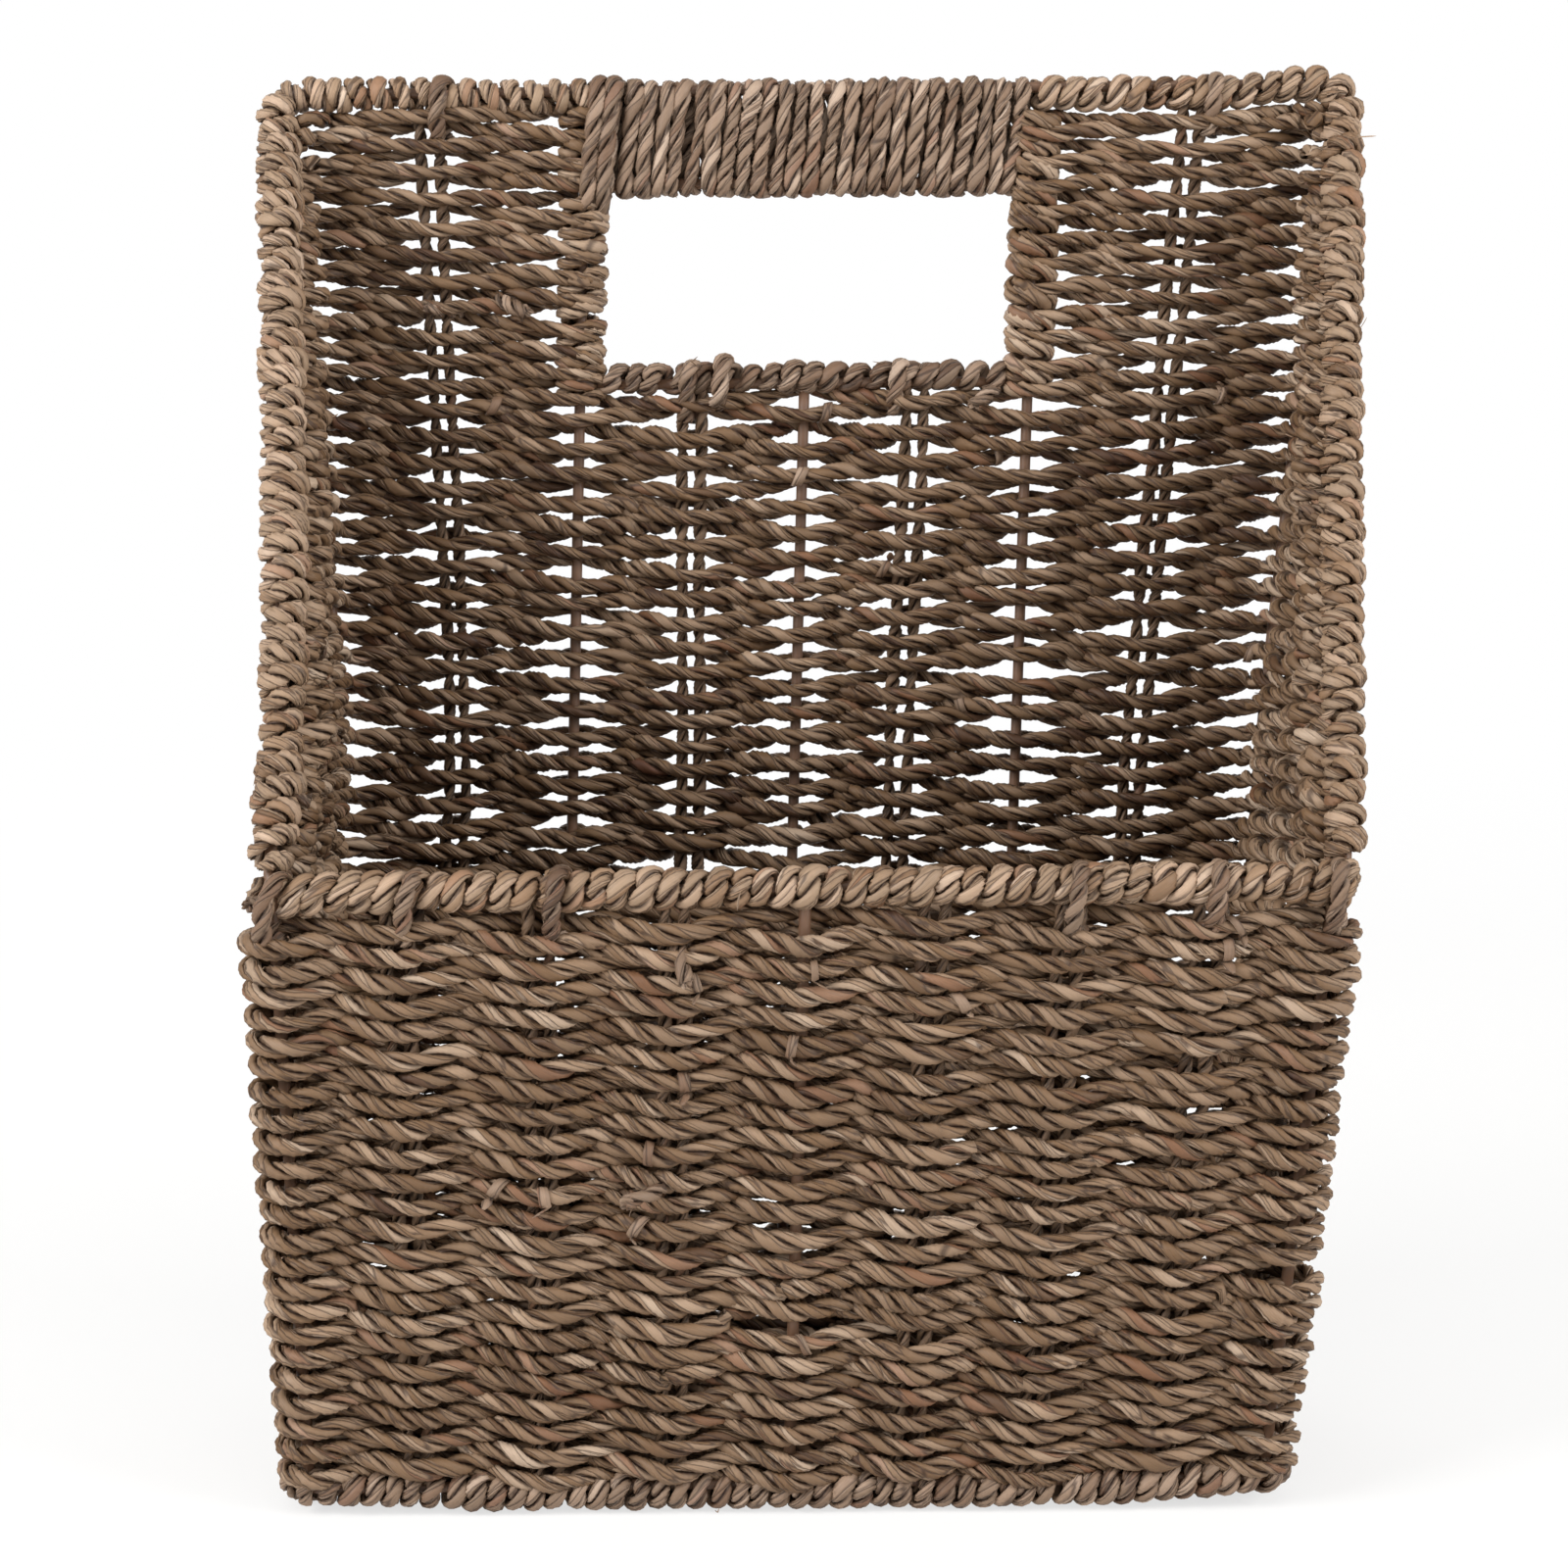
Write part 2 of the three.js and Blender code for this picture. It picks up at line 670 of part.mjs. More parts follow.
// Wound ropes whose turns show: both halves of the front rim, the handle and the sill
const rimWindingEnd = rimFrameWidth / 2 - 2 * cornerBend - seatGap;
addWinding('front_rim_winding_left', {
  from: -rimWindingEnd,
  to: -seatGap / 2,
  line: rimFrontLine,
  height: rimHeight,
  barSpacing: 0,
  loops: frontRimLoops,
  seat: frontWeaveTop,
});
addWinding('front_rim_winding_right', {
  from: seatGap / 2,
  to: rimWindingEnd,
  line: rimFrontLine,
  height: rimHeight,
  barSpacing: 0,
  loops: frontRimLoops,
  seat: frontWeaveTop,
});
addWinding('handle_winding', {
  from: -handleWidth / 2,
  to: handleWidth / 2,
  line: backLine,
  height: handleBarHeight,
  barSpacing: handleBarSpacing,
  loops: handleLoops,
  seat: handleSeat,
});
addWinding('sill_winding', {
  from: seatGap - wingEdge,
  to: wingEdge - seatGap,
  line: backLine,
  height: sillHeight,
  barSpacing: 0,
  loops: sillLoops,
  seat: backWeaveTop,
});

export default basket;
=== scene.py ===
import math
import bpy
import numpy as np
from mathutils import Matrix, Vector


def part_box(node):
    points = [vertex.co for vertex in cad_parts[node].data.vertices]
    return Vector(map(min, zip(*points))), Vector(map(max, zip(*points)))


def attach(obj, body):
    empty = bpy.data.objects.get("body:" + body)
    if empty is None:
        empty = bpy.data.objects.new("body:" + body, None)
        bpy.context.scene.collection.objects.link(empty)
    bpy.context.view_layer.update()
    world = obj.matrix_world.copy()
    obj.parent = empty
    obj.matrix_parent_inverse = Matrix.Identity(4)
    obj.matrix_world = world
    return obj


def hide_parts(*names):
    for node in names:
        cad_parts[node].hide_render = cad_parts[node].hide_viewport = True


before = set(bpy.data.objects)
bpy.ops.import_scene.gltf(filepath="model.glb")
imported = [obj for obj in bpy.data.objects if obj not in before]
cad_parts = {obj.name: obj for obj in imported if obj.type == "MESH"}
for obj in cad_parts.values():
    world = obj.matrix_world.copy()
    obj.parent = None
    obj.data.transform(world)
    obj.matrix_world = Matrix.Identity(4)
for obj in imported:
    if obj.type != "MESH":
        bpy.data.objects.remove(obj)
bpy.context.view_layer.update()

MM = 0.001


# Camera
# The basket is seen from the front, a little from above and from the left of its middle.
# The eye's place is in millimetres in the basket's own frame, and the focal length is in photo pixels.
photo_side_px, focal_px = 1600, 3165
sensor_mm = 36.0
eye_mm = (-23.5, -879.8, 290.0)
eye_yaw, eye_pitch = -1.294, -6.15
clip_near, clip_far = 0.01, 20

lens = bpy.data.cameras.new("camera")
lens.sensor_width = sensor_mm
lens.lens = focal_px * sensor_mm / photo_side_px
lens.clip_start, lens.clip_end = clip_near, clip_far
camera = bpy.data.objects.new("camera", lens)
camera.location = [value * MM for value in eye_mm]
camera.rotation_euler = (math.radians(90 + eye_pitch), 0, math.radians(eye_yaw))
bpy.context.scene.collection.objects.link(camera)
bpy.context.scene.camera = camera


# Studio: paper sweep and soft lamps
# Matt white paper lies under the basket and rolls up behind it, and softboxes stand round it, in metres.
# The paper keeps the basket's shadow, and further off, where no lamp reaches, it is plain white.
paper_hex, white_hex = "#f4f3f1", "#ffffff"
near_reach, far_reach = 0.5, 1.5
white_share_near, white_share_far = 0.7, 1.0
sweep_width, sweep_front, sweep_back, sweep_height, sweep_bend = 9.0, -4.0, 2.2, 5.0, 1.2
bend_steps = 16
world_strength = 0.31
lamps = [
    # name, place, aim, width, power in watts
    ("softbox_left", (-1.6, -1.0, 1.1), (0, 0, 0.2), 1.1, 42),
    ("softbox_right", (1.6, -0.9, 1.0), (0, 0, 0.2), 1.1, 31),
    ("softbox_front_top", (0.1, -1.3, 1.9), (0, 0, 0.15), 1.2, 10),
    ("softbox_back", (-0.6, 1.7, 1.2), (0, 0, 0.2), 1.1, 8),
]


def colour(hex_code):
    """An sRGB hex value as the linear colour that Blender's sockets take."""
    channels = [int(hex_code[i:i + 2], 16) / 255 for i in (1, 3, 5)]
    return [c / 12.92 if c <= 0.04045 else ((c + 0.055) / 1.055) ** 2.4 for c in channels] + [1.0]


def add(tree, kind, settings=None, sockets=None, links=None):
    """Adds one shader node, with its settings, the values of its sockets and its links from earlier nodes.
    A link given as a node comes from that node's first output."""
    node = tree.nodes.new("ShaderNode" + kind)
    for name, value in (settings or {}).items():
        setattr(node, name, value)
    for name, value in (sockets or {}).items():
        node.inputs[name].default_value = value
    for name, source in (links or {}).items():
        tree.links.new(getattr(source, "outputs", [source])[0], node.inputs[name])
    return node


def new_material(name):
    """A material without nodes, and its node tree."""
    material = bpy.data.materials.new(name)
    material.use_nodes = True
    material.node_tree.nodes.clear()
    return material, material.node_tree


def white_sweep_paper():
    """Uncoated backdrop paper: matt, and white to the camera where no shadow falls."""
    material, tree = new_material("white_sweep_paper")
    paper = add(tree, "BsdfDiffuse", sockets={"Color": colour(paper_hex)})
    white = add(tree, "Emission", sockets={"Color": colour(white_hex), "Strength": 1.0})
    path = add(tree, "LightPath")
    seen = path.outputs["Is Camera Ray"]
    for ray in ("Is Glossy Ray", "Is Transmission Ray"):
        seen = add(tree, "Math", {"operation": "MAXIMUM"}, links={0: seen, 1: path.outputs[ray]})
    place = add(tree, "TexCoord")
    away = add(tree, "VectorMath", {"operation": "LENGTH"}, links={0: place.outputs["Object"]})
    plain = add(tree, "MapRange", {}, {"From Min": near_reach, "From Max": far_reach,
                                       "To Min": white_share_near, "To Max": white_share_far},
                {0: away.outputs["Value"]})
    share = add(tree, "Math", {"operation": "MULTIPLY"}, links={0: seen, 1: plain})
    mix = add(tree, "MixShader", links={0: share, 1: paper, 2: white})
    add(tree, "OutputMaterial", links={"Surface": mix})
    return material


profile = [(sweep_front, 0.0)]
for step in range(bend_steps + 1):
    angle = math.pi / 2 * step / bend_steps
    bend_y = sweep_back - sweep_bend + sweep_bend * math.sin(angle)
    profile.append((bend_y, sweep_bend * (1 - math.cos(angle))))
profile.append((sweep_back, sweep_height))
sweep_points = [(side * sweep_width / 2, y, z) for y, z in profile for side in (-1, 1)]
sweep_faces = [(2 * i, 2 * i + 1, 2 * i + 3, 2 * i + 2) for i in range(len(profile) - 1)]
sweep_mesh = bpy.data.meshes.new("paper_sweep")
sweep_mesh.from_pydata(sweep_points, [], sweep_faces)
sweep_mesh.shade_smooth()
sweep_mesh.materials.append(white_sweep_paper())
sweep = bpy.data.objects.new("paper_sweep", sweep_mesh)
bpy.context.scene.collection.objects.link(sweep)

for name, place, aim, width, power in lamps:
    light = bpy.data.lights.new(name, "AREA")
    light.shape = "SQUARE"
    light.size = width
    light.energy = power
    lamp = bpy.data.objects.new(name, light)
    lamp.location = place
    x, y, z = [a - p for a, p in zip(aim, place)]
    lamp.rotation_euler = (math.atan2(math.hypot(x, y), -z), 0, math.atan2(-x, y))
    bpy.context.scene.collection.objects.link(lamp)

world = bpy.data.worlds.new("soft_room")
world.use_nodes = True
sky = world.node_tree
sky.nodes.clear()
room, backdrop = [add(sky, "Background", sockets={"Color": colour(white_hex), "Strength": strength})
                  for strength in (world_strength, 1.0)]
path = add(sky, "LightPath")
mix = add(sky, "MixShader", links={0: path.outputs["Is Camera Ray"], 1: room, 2: backdrop})
add(sky, "OutputWorld", links={"Surface": mix})
bpy.context.scene.world = world
bpy.context.scene.view_settings.view_transform = "Standard"


# Frame wires
# The basket's skeleton is bent from 3.6 mm steel wire, welded and sprayed brown before the weaver starts.
# A base ring, a rim that runs up both sides and along the top, four corner posts and a few uprights.
def corner_mm(node):
    """A frame node's lowest and highest corner, in millimetres."""
    low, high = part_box(node)
    return np.array(low) / MM, np.array(high) / MM


centre_low, centre_high = corner_mm("back_centre_post")
base_low, base_high = corner_mm("base_frame_wire")
rim_low, rim_high = corner_mm("rim_frame_wire")
sill_low, sill_high = corner_mm("sill_wire")
bar_low, bar_high = corner_mm("handle_lower_bar")
jamb_low, jamb_high = corner_mm("hand_hole_jamb_right")
wire = (centre_high[0] - centre_low[0]) / 2
base_half, base_front, base_z = base_high[0] - wire, base_low[1] + wire, (base_low[2] + base_high[2]) / 2
rim_half, rim_front, rim_z = 144.25, rim_low[1] + wire, rim_low[2] + wire
top_half, back_y, top_z = rim_high[0] - wire, base_high[1] - wire, rim_high[2] - wire
sill_z, bar_z = (sill_low[2] + sill_high[2]) / 2, (bar_low[2] + bar_high[2]) / 2
jamb_x = (jamb_low[0] + jamb_high[0]) / 2
sides = ((-1, "left"), (1, "right"))
wire_corner, wire_sides, post_steps, jamb_steps = 9.0, 12, 24, 40
front_post_inset, back_post_inset = 3.2, 2.0
lean_share, lean_level, tilt_share = 0.0252, 150.0, 0.009
left_bow, right_bow = 5.3, 1.2
top_settle = 1.4
left_kick, left_kick_from, left_kick_over = 1.1, 0.6, 0.2
right_kick, right_kick_from, right_kick_over = 2.3, 0.78, 0.14
foot_rise, foot_rise_right, foot_reach = 2.2, 0.7, 60.0
seed = 11
rng = np.random.default_rng(seed)


def half_width(z):
    """Half the width between the side walls' middle planes at a height. They flare more above the rim."""
    return np.interp(z, [base_z, rim_z, top_z], [base_half, rim_half, top_half])


def front_line(z):
    """The front wall's middle plane at a height: it leans forward up to the rim."""
    return np.interp(z, [base_z, rim_z], [base_front, rim_front])


def ease(share):
    """A smooth step from 0 to 1."""
    share = np.clip(share, 0, 1)
    return share * share * (3 - 2 * share)


def hand_made(points):
    """The slight lean, bow and raised corners that the weaving gave the basket, in place of the exact
    symmetry."""
    x, z = points[:, 0], points[:, 2]
    aside = x / half_width(z)
    rise = np.clip((z - rim_z) / (top_z - rim_z), 0, 1)
    bow = left_bow * ease(-2 * aside - 1) - right_bow * ease(2 * aside - 1)
    settle = right_kick * ease((aside - right_kick_from) / right_kick_over)
    settle = settle + left_kick * ease((-aside - left_kick_from) / left_kick_over) - top_settle
    foot = ease(1 - z / foot_reach) * ease(2 * np.abs(aside) - 1) * (foot_rise + foot_rise_right * aside)
    moved = points.copy()
    moved[:, 0] = x + lean_share * (z - lean_level) + bow * np.sin(math.pi * np.sqrt(rise))
    moved[:, 2] = z + tilt_share * x * np.clip(z / rim_z, 0, 1) + settle * rise + foot
    return moved


def unit(vectors):
    """The same directions at length one."""
    return vectors / np.maximum(np.linalg.norm(vectors, axis=-1, keepdims=True), 1e-9)


def square_to(tangent, out):
    """One direction, or one for each point, made square to a path, and the direction across both."""
    out = unit(out - tangent * np.sum(out * tangent, axis=1, keepdims=True))
    return out, np.cross(tangent, out)


def lengths_run(path):
    """The length that a path has run at each of its points."""
    return np.concatenate([[0], np.cumsum(np.linalg.norm(np.diff(path, axis=0), axis=1))])


def points_at(lengths, run, path):
    """The points of a path at lengths along it."""
    return np.stack([np.interp(lengths, run, values) for values in path.T], axis=1)


def even_steps(path, step):
    """A path through the same line with points at even steps, and the length that each has run."""
    path = np.asarray(path, float)
    run = lengths_run(path)
    at = np.linspace(0, run[-1], max(int(round(run[-1] / step)), 2) + 1)
    return points_at(at, run, path), at


def rounded(corners, radius, closed=False, steps=6, most_share=0.45):
    """A line through corners, each rounded by a curve that starts a radius before it, or less where the
    next corner is near."""
    corners = [np.array(c, float) for c in corners]
    count = len(corners)
    line = []
    for i, corner in enumerate(corners):
        if not closed and i in (0, count - 1):
            line.append(corner)
            continue
        start, end = [corner + (other - corner) * min(radius / np.linalg.norm(other - corner), most_share)
                      for other in (corners[i - 1], corners[(i + 1) % count])]
        for t in np.linspace(0, 1, steps + 1):
            line.append((1 - t) ** 2 * start + 2 * t * (1 - t) * corner + t ** 2 * end)
    if closed:
        line.append(line[0])
    return np.array(line)


def make_object(name, points, quads, caps, material, nodes, attributes=None):
    """One mesh from points in millimetres, which rides with the basket and stands for the named nodes."""
    faces = np.concatenate([quads.ravel(), *caps]).astype(np.int32)
    sizes = np.concatenate([np.full(len(quads), 4), [len(cap) for cap in caps]]).astype(np.int32)
    mesh = bpy.data.meshes.new(name)
    mesh.vertices.add(len(points))
    mesh.vertices.foreach_set("co", (hand_made(points) * MM).astype(np.float32).ravel())
    mesh.loops.add(len(faces))
    mesh.loops.foreach_set("vertex_index", faces)
    mesh.polygons.add(len(sizes))
    mesh.polygons.foreach_set("loop_start", np.concatenate([[0], np.cumsum(sizes)[:-1]]).astype(np.int32))
    mesh.update(calc_edges=True)
    mesh.shade_smooth()
    for key, values in (attributes or {}).items():
        kind, field = ("FLOAT", "value") if values.ndim == 1 else ("FLOAT_VECTOR", "vector")
        mesh.attributes.new(key, kind, "POINT").data.foreach_set(field, values.astype(np.float32).ravel())
    mesh.materials.append(material)
    piece = bpy.data.objects.new(name, mesh)
    bpy.context.scene.collection.objects.link(piece)
    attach(piece, "root")
    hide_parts(*nodes)


def tube(path, radius, sides, closed=False, askew=(0.31, 0.87, 0.38)):
    """A round tube along a path, as points, quads and end caps. askew is a direction that no wire has."""
    path = path[:-1] if closed else path
    tangent = unit(np.roll(path, -1, 0) - np.roll(path, 1, 0)) if closed else unit(np.gradient(path, axis=0))
    out, side = square_to(tangent, askew)
    angle = np.arange(sides) * 2 * math.pi / sides
    around = np.cos(angle)[None, :, None] * out[:, None] + np.sin(angle)[None, :, None] * side[:, None]
    points = path[:, None] + radius * around
    rings = np.arange(len(path) * sides).reshape(len(path), sides)
    here, after = (rings, np.roll(rings, -1, 0)) if closed else (rings[:-1], rings[1:])
    quads = np.stack([here, np.roll(here, -1, 1), np.roll(after, -1, 1), after], axis=-1).reshape(-1, 4)
    caps = [] if closed else [rings[0][::-1], rings[-1]]
    return points.reshape(-1, 3), quads, caps


def brown_sprayed_steel():
    """Welded steel wire under a thin sprayed brown paint: half matt, with a fine orange peel."""
    mottle_mm, peel_mm, peel_depth_mm = 9, 1.2, 0.08
    material, tree = new_material("brown_sprayed_steel")
    place = add(tree, "TexCoord")
    mottle, peel = [add(tree, "TexNoise", sockets={"Scale": 1 / (size * MM), "Detail": detail},
                        links={"Vector": place.outputs["Object"]})
                    for size, detail in ((mottle_mm, 3.0), (peel_mm, 2.0))]
    paint = add(tree, "Mix", {"data_type": "RGBA"},
                {6: colour("#573e2e"), 7: colour("#7a5a43")}, {0: mottle.outputs["Fac"]})
    bump = add(tree, "Bump", sockets={"Strength": 0.4, "Distance": peel_depth_mm * MM},
               links={"Height": peel.outputs["Fac"]})
    shader = add(tree, "BsdfPrincipled", sockets={"Roughness": 0.5, "IOR": 1.5},
                 links={"Base Color": paint.outputs[2], "Normal": bump})
    add(tree, "OutputMaterial", links={"Surface": shader})
    return material


def upright(x_share, front, top, inset=0.0):
    """The line of an upright in the front or back wall, which follows the flare of the sides and stands
    that far inside a corner."""
    heights = np.linspace(base_z, top, post_steps)
    y = front_line(heights) + inset if front else np.full(post_steps, back_y - inset)
    return np.column_stack([x_share * (half_width(heights) - inset), y, heights])


wire_paint = brown_sprayed_steel()
base_line = rounded([(-base_half, base_front, base_z), (base_half, base_front, base_z),
                     (base_half, back_y, base_z), (-base_half, back_y, base_z)], wire_corner, True)
rim_line = rounded([(-rim_half, rim_front, rim_z), (rim_half, rim_front, rim_z),
                    (top_half, back_y, top_z), (-top_half, back_y, top_z)], wire_corner, True)
wire_lines = {
    "sill_wire": np.linspace((-jamb_x, back_y, sill_z), (jamb_x, back_y, sill_z), 3),
    "handle_lower_bar": np.linspace((bar_low[0], back_y, bar_z), (bar_high[0], back_y, bar_z), 3),
    "floor_cross_wire": np.linspace((0, base_front, base_z), (0, back_y, base_z), 3),
    "front_centre_post": upright(0, True, rim_z),
    "back_centre_post": upright(0, False, sill_z),
    "corner_post_front_left": upright(-1, True, rim_z, front_post_inset),
    "corner_post_front_right": upright(1, True, rim_z, front_post_inset),
    "corner_post_back_left": upright(-1, False, top_z, back_post_inset),
    "corner_post_back_right": upright(1, False, top_z, back_post_inset),
}
for side, word in sides:
    x = side * jamb_x
    wire_lines["hand_hole_jamb_" + word] = np.linspace((x, back_y, base_z), (x, back_y, bar_z), jamb_steps)
for node, line in {"base_frame_wire": base_line, "rim_frame_wire": rim_line, **wire_lines}.items():
    points, quads, caps = tube(line, wire, wire_sides, node not in wire_lines)
    make_object(node + "_painted", points, quads, caps, wire_paint, [node])


# Twisted seagrass rope
# Two bundles of dried seagrass leaf are rolled by hand and laid up into a rope of about 5 mm.
# The leaf folds over itself, so each ply is lumpy, and its edges run along it as fine creases.
rope_step, half_lay_mm = 1.4, 9.0
arc_points, leaf_sides = 8, 6
ply_offset_share, ply_thick_share, ply_wide_share = 0.235, 0.262, 0.365
# Painted shade in the creases where the two plies meet, for each point of a ply's arc: full at the crease and
# none on its crown.
arc_crease_shade = [1, 0.35, 0, 0, 0, 0, 0.35, 1]
leaf_turn, leaf_stretch, leaf_shift = 0.05, 1.1, 4000
end_fade_mm, taper_least, ply_tone_spread = 6, 0.12, 0.4
leaf_end_share, leaf_end_least = 0.18, 0.08
# How uneven the rope is: each pair is a share and the distance in millimetres over which it changes.
uneven_lay, uneven_thick, uneven_ply, uneven_offset = (0.26, 22), (0.1, 24), (0.16, 9), (0.1, 13)
uneven_folds, uneven_creases, uneven_tone = (0.065, 12), (0.03, 4.5), (0.55, 26)


def uneven(run, size, spacing, columns=None):
    """A smooth random curve along a run of lengths, or one for each column. It stays within size of zero
    and changes over each spacing."""
    values = rng.uniform(-1, 1, (int(run[-1] / spacing) + 3, columns or 1))
    at = run / spacing
    first = at.astype(int)
    blend = ease(at - first)[:, None]
    curve = size * (values[first] * (1 - blend) + values[first + 1] * blend)
    return curve if columns else curve[:, 0]


class Ropes:
    """The points, faces and shading values of the ropes that make up one piece."""

    def __init__(self):
        self.skins, self.caps, self.count = [], [], 0

    def skin(self, path, out, side, u, v, fibre, crease_shade, tone, closed=False):
        """Adds a skin along a path from its section's offsets, u along out and v along side."""
        points = path[:, None] + u[..., None] * out[:, None] + v[..., None] * side[:, None]
        rings = self.count + np.arange(u.size).reshape(u.shape)
        loop = np.column_stack([rings, rings[:, 0]]) if closed else rings
        corners = [loop[:-1, :-1], loop[:-1, 1:], loop[1:, 1:], loop[1:, :-1]]
        self.skins.append((points.reshape(-1, 3), np.stack(corners, -1).reshape(-1, 4),
                           np.stack(np.broadcast_arrays(*fibre), -1).reshape(-1, 3),
                           np.tile(crease_shade, len(path)),
                           np.repeat(np.broadcast_to(tone, len(path)), u.shape[1])))
        self.count += u.size
        return rings

    def lay(self, path, out, thick, half_lay=half_lay_mm, flat=1.0, wide=1.0, ring=False, rough=1.0,
            taper=0.0, pale=0.0):
        """Lays one two-ply rope along a path. out points away from what it lies on, flat and wide scale its
        section towards out and across it, and ring joins its ends. rough makes it lumpier, taper draws in
        its ends over that length, and pale makes its leaf paler, or darker below zero: its own tone, and for
        the wall rows also painted light and shade by the way they face."""
        run = lengths_run(path)
        tangent = unit(np.gradient(path, axis=0))
        if ring:
            tangent[0] = tangent[-1] = unit(path[1] - path[-2])
        out, side = square_to(tangent, out)
        from_end = np.minimum(run, run[-1] - run)
        fade = np.clip(from_end / end_fade_mm, 0, 1)
        lay_length = half_lay * (1 + rough * uneven(run, *uneven_lay))
        turn = np.concatenate([[0], np.cumsum(math.pi * np.diff(run) / lay_length[1:])])
        if ring:
            turn *= max(round(turn[-1] / (2 * math.pi)), 1) * 2 * math.pi / turn[-1]
        else:
            turn += rng.uniform(0, math.pi)
        thick = thick * (1 + rough * uneven(run, *uneven_thick) * fade)
        if taper:
            thick = thick * np.sqrt(np.clip(from_end / taper, taper_least, 1))
        flat, wide = [np.broadcast_to(scale, len(path))[:, None] for scale in (flat, wide)]
        crease = math.acos(-ply_offset_share / ply_thick_share)
        angle = np.linspace(-crease, crease, arc_points)
        inner = np.ones(arc_points)
        inner[[0, -1]] = 0
        plies = []
        for start in (0, math.pi):
            size = 1 + rough * uneven(run, *uneven_ply) * fade
            folds = uneven(run, *uneven_folds, arc_points) + uneven(run, *uneven_creases, arc_points)
            swell = size[:, None] * (1 + rough * folds * fade[:, None] * inner)
            offset = ply_offset_share * (1 + rough * uneven(run, *uneven_offset) * fade)
            radial = (offset[:, None] + ply_thick_share * np.cos(angle) * swell) * inner
            across = ply_wide_share * np.sin(angle) * np.where(inner > 0, swell, 1)
            twist = (turn + start)[:, None]
            u = thick[:, None] * (radial * np.cos(twist) - across * np.sin(twist)) * flat
            v = thick[:, None] * (radial * np.sin(twist) + across * np.cos(twist)) * wide
            along = (run * leaf_stretch + rng.uniform(0, leaf_shift))[:, None]
            leaf_angle = angle + leaf_turn * along
            girth = np.mean(thick)
            fibre = (girth * ply_thick_share * np.cos(leaf_angle),
                     girth * ply_wide_share * np.sin(leaf_angle), along)
            tone = uneven(run, *uneven_tone) + pale
            tone = tone + rng.uniform(-ply_tone_spread, ply_tone_spread) / rough ** 2
            plies.append(self.skin(path, out, side, u, v, fibre, arc_crease_shade, tone))
        first, second = plies
        self.caps += [np.concatenate([first[0], second[0][1:-1]])[::-1],
                      np.concatenate([first[-1], second[-1][1:-1]])]

    def leaf(self, path, out, wide, thick, tone):
        """Lays one leaf along a path, flat against out, drawn in at both ends. A narrow one is a fibre."""
        run = lengths_run(path)
        out, side = square_to(unit(np.gradient(path, axis=0)), out)
        angle = np.arange(leaf_sides) * 2 * math.pi / leaf_sides
        from_end = np.minimum(run, run[-1] - run) / (leaf_end_share * run[-1])
        ends = np.sqrt(np.clip(from_end, leaf_end_least, 1))[:, None]
        u, v = ends * thick / 2 * np.cos(angle), ends * wide / 2 * np.sin(angle)
        along = (run + rng.uniform(0, leaf_shift))[:, None]
        rings = self.skin(path, out, side, u, v, (u, v, along), np.zeros(leaf_sides), tone, closed=True)
        self.caps += [rings[0][::-1], rings[-1]]

    def piece(self, name, material, slot, *nodes):
        """Makes the piece that the ropes laid so far belong to, in place of the named nodes."""
        points, quads, fibre, crease_shade, tone = [np.concatenate(values) for values in zip(*self.skins)]
        make_object(name, points, quads, self.caps, material, nodes,
                    {"fibre": fibre, "crease_shade": crease_shade, "tone": tone})


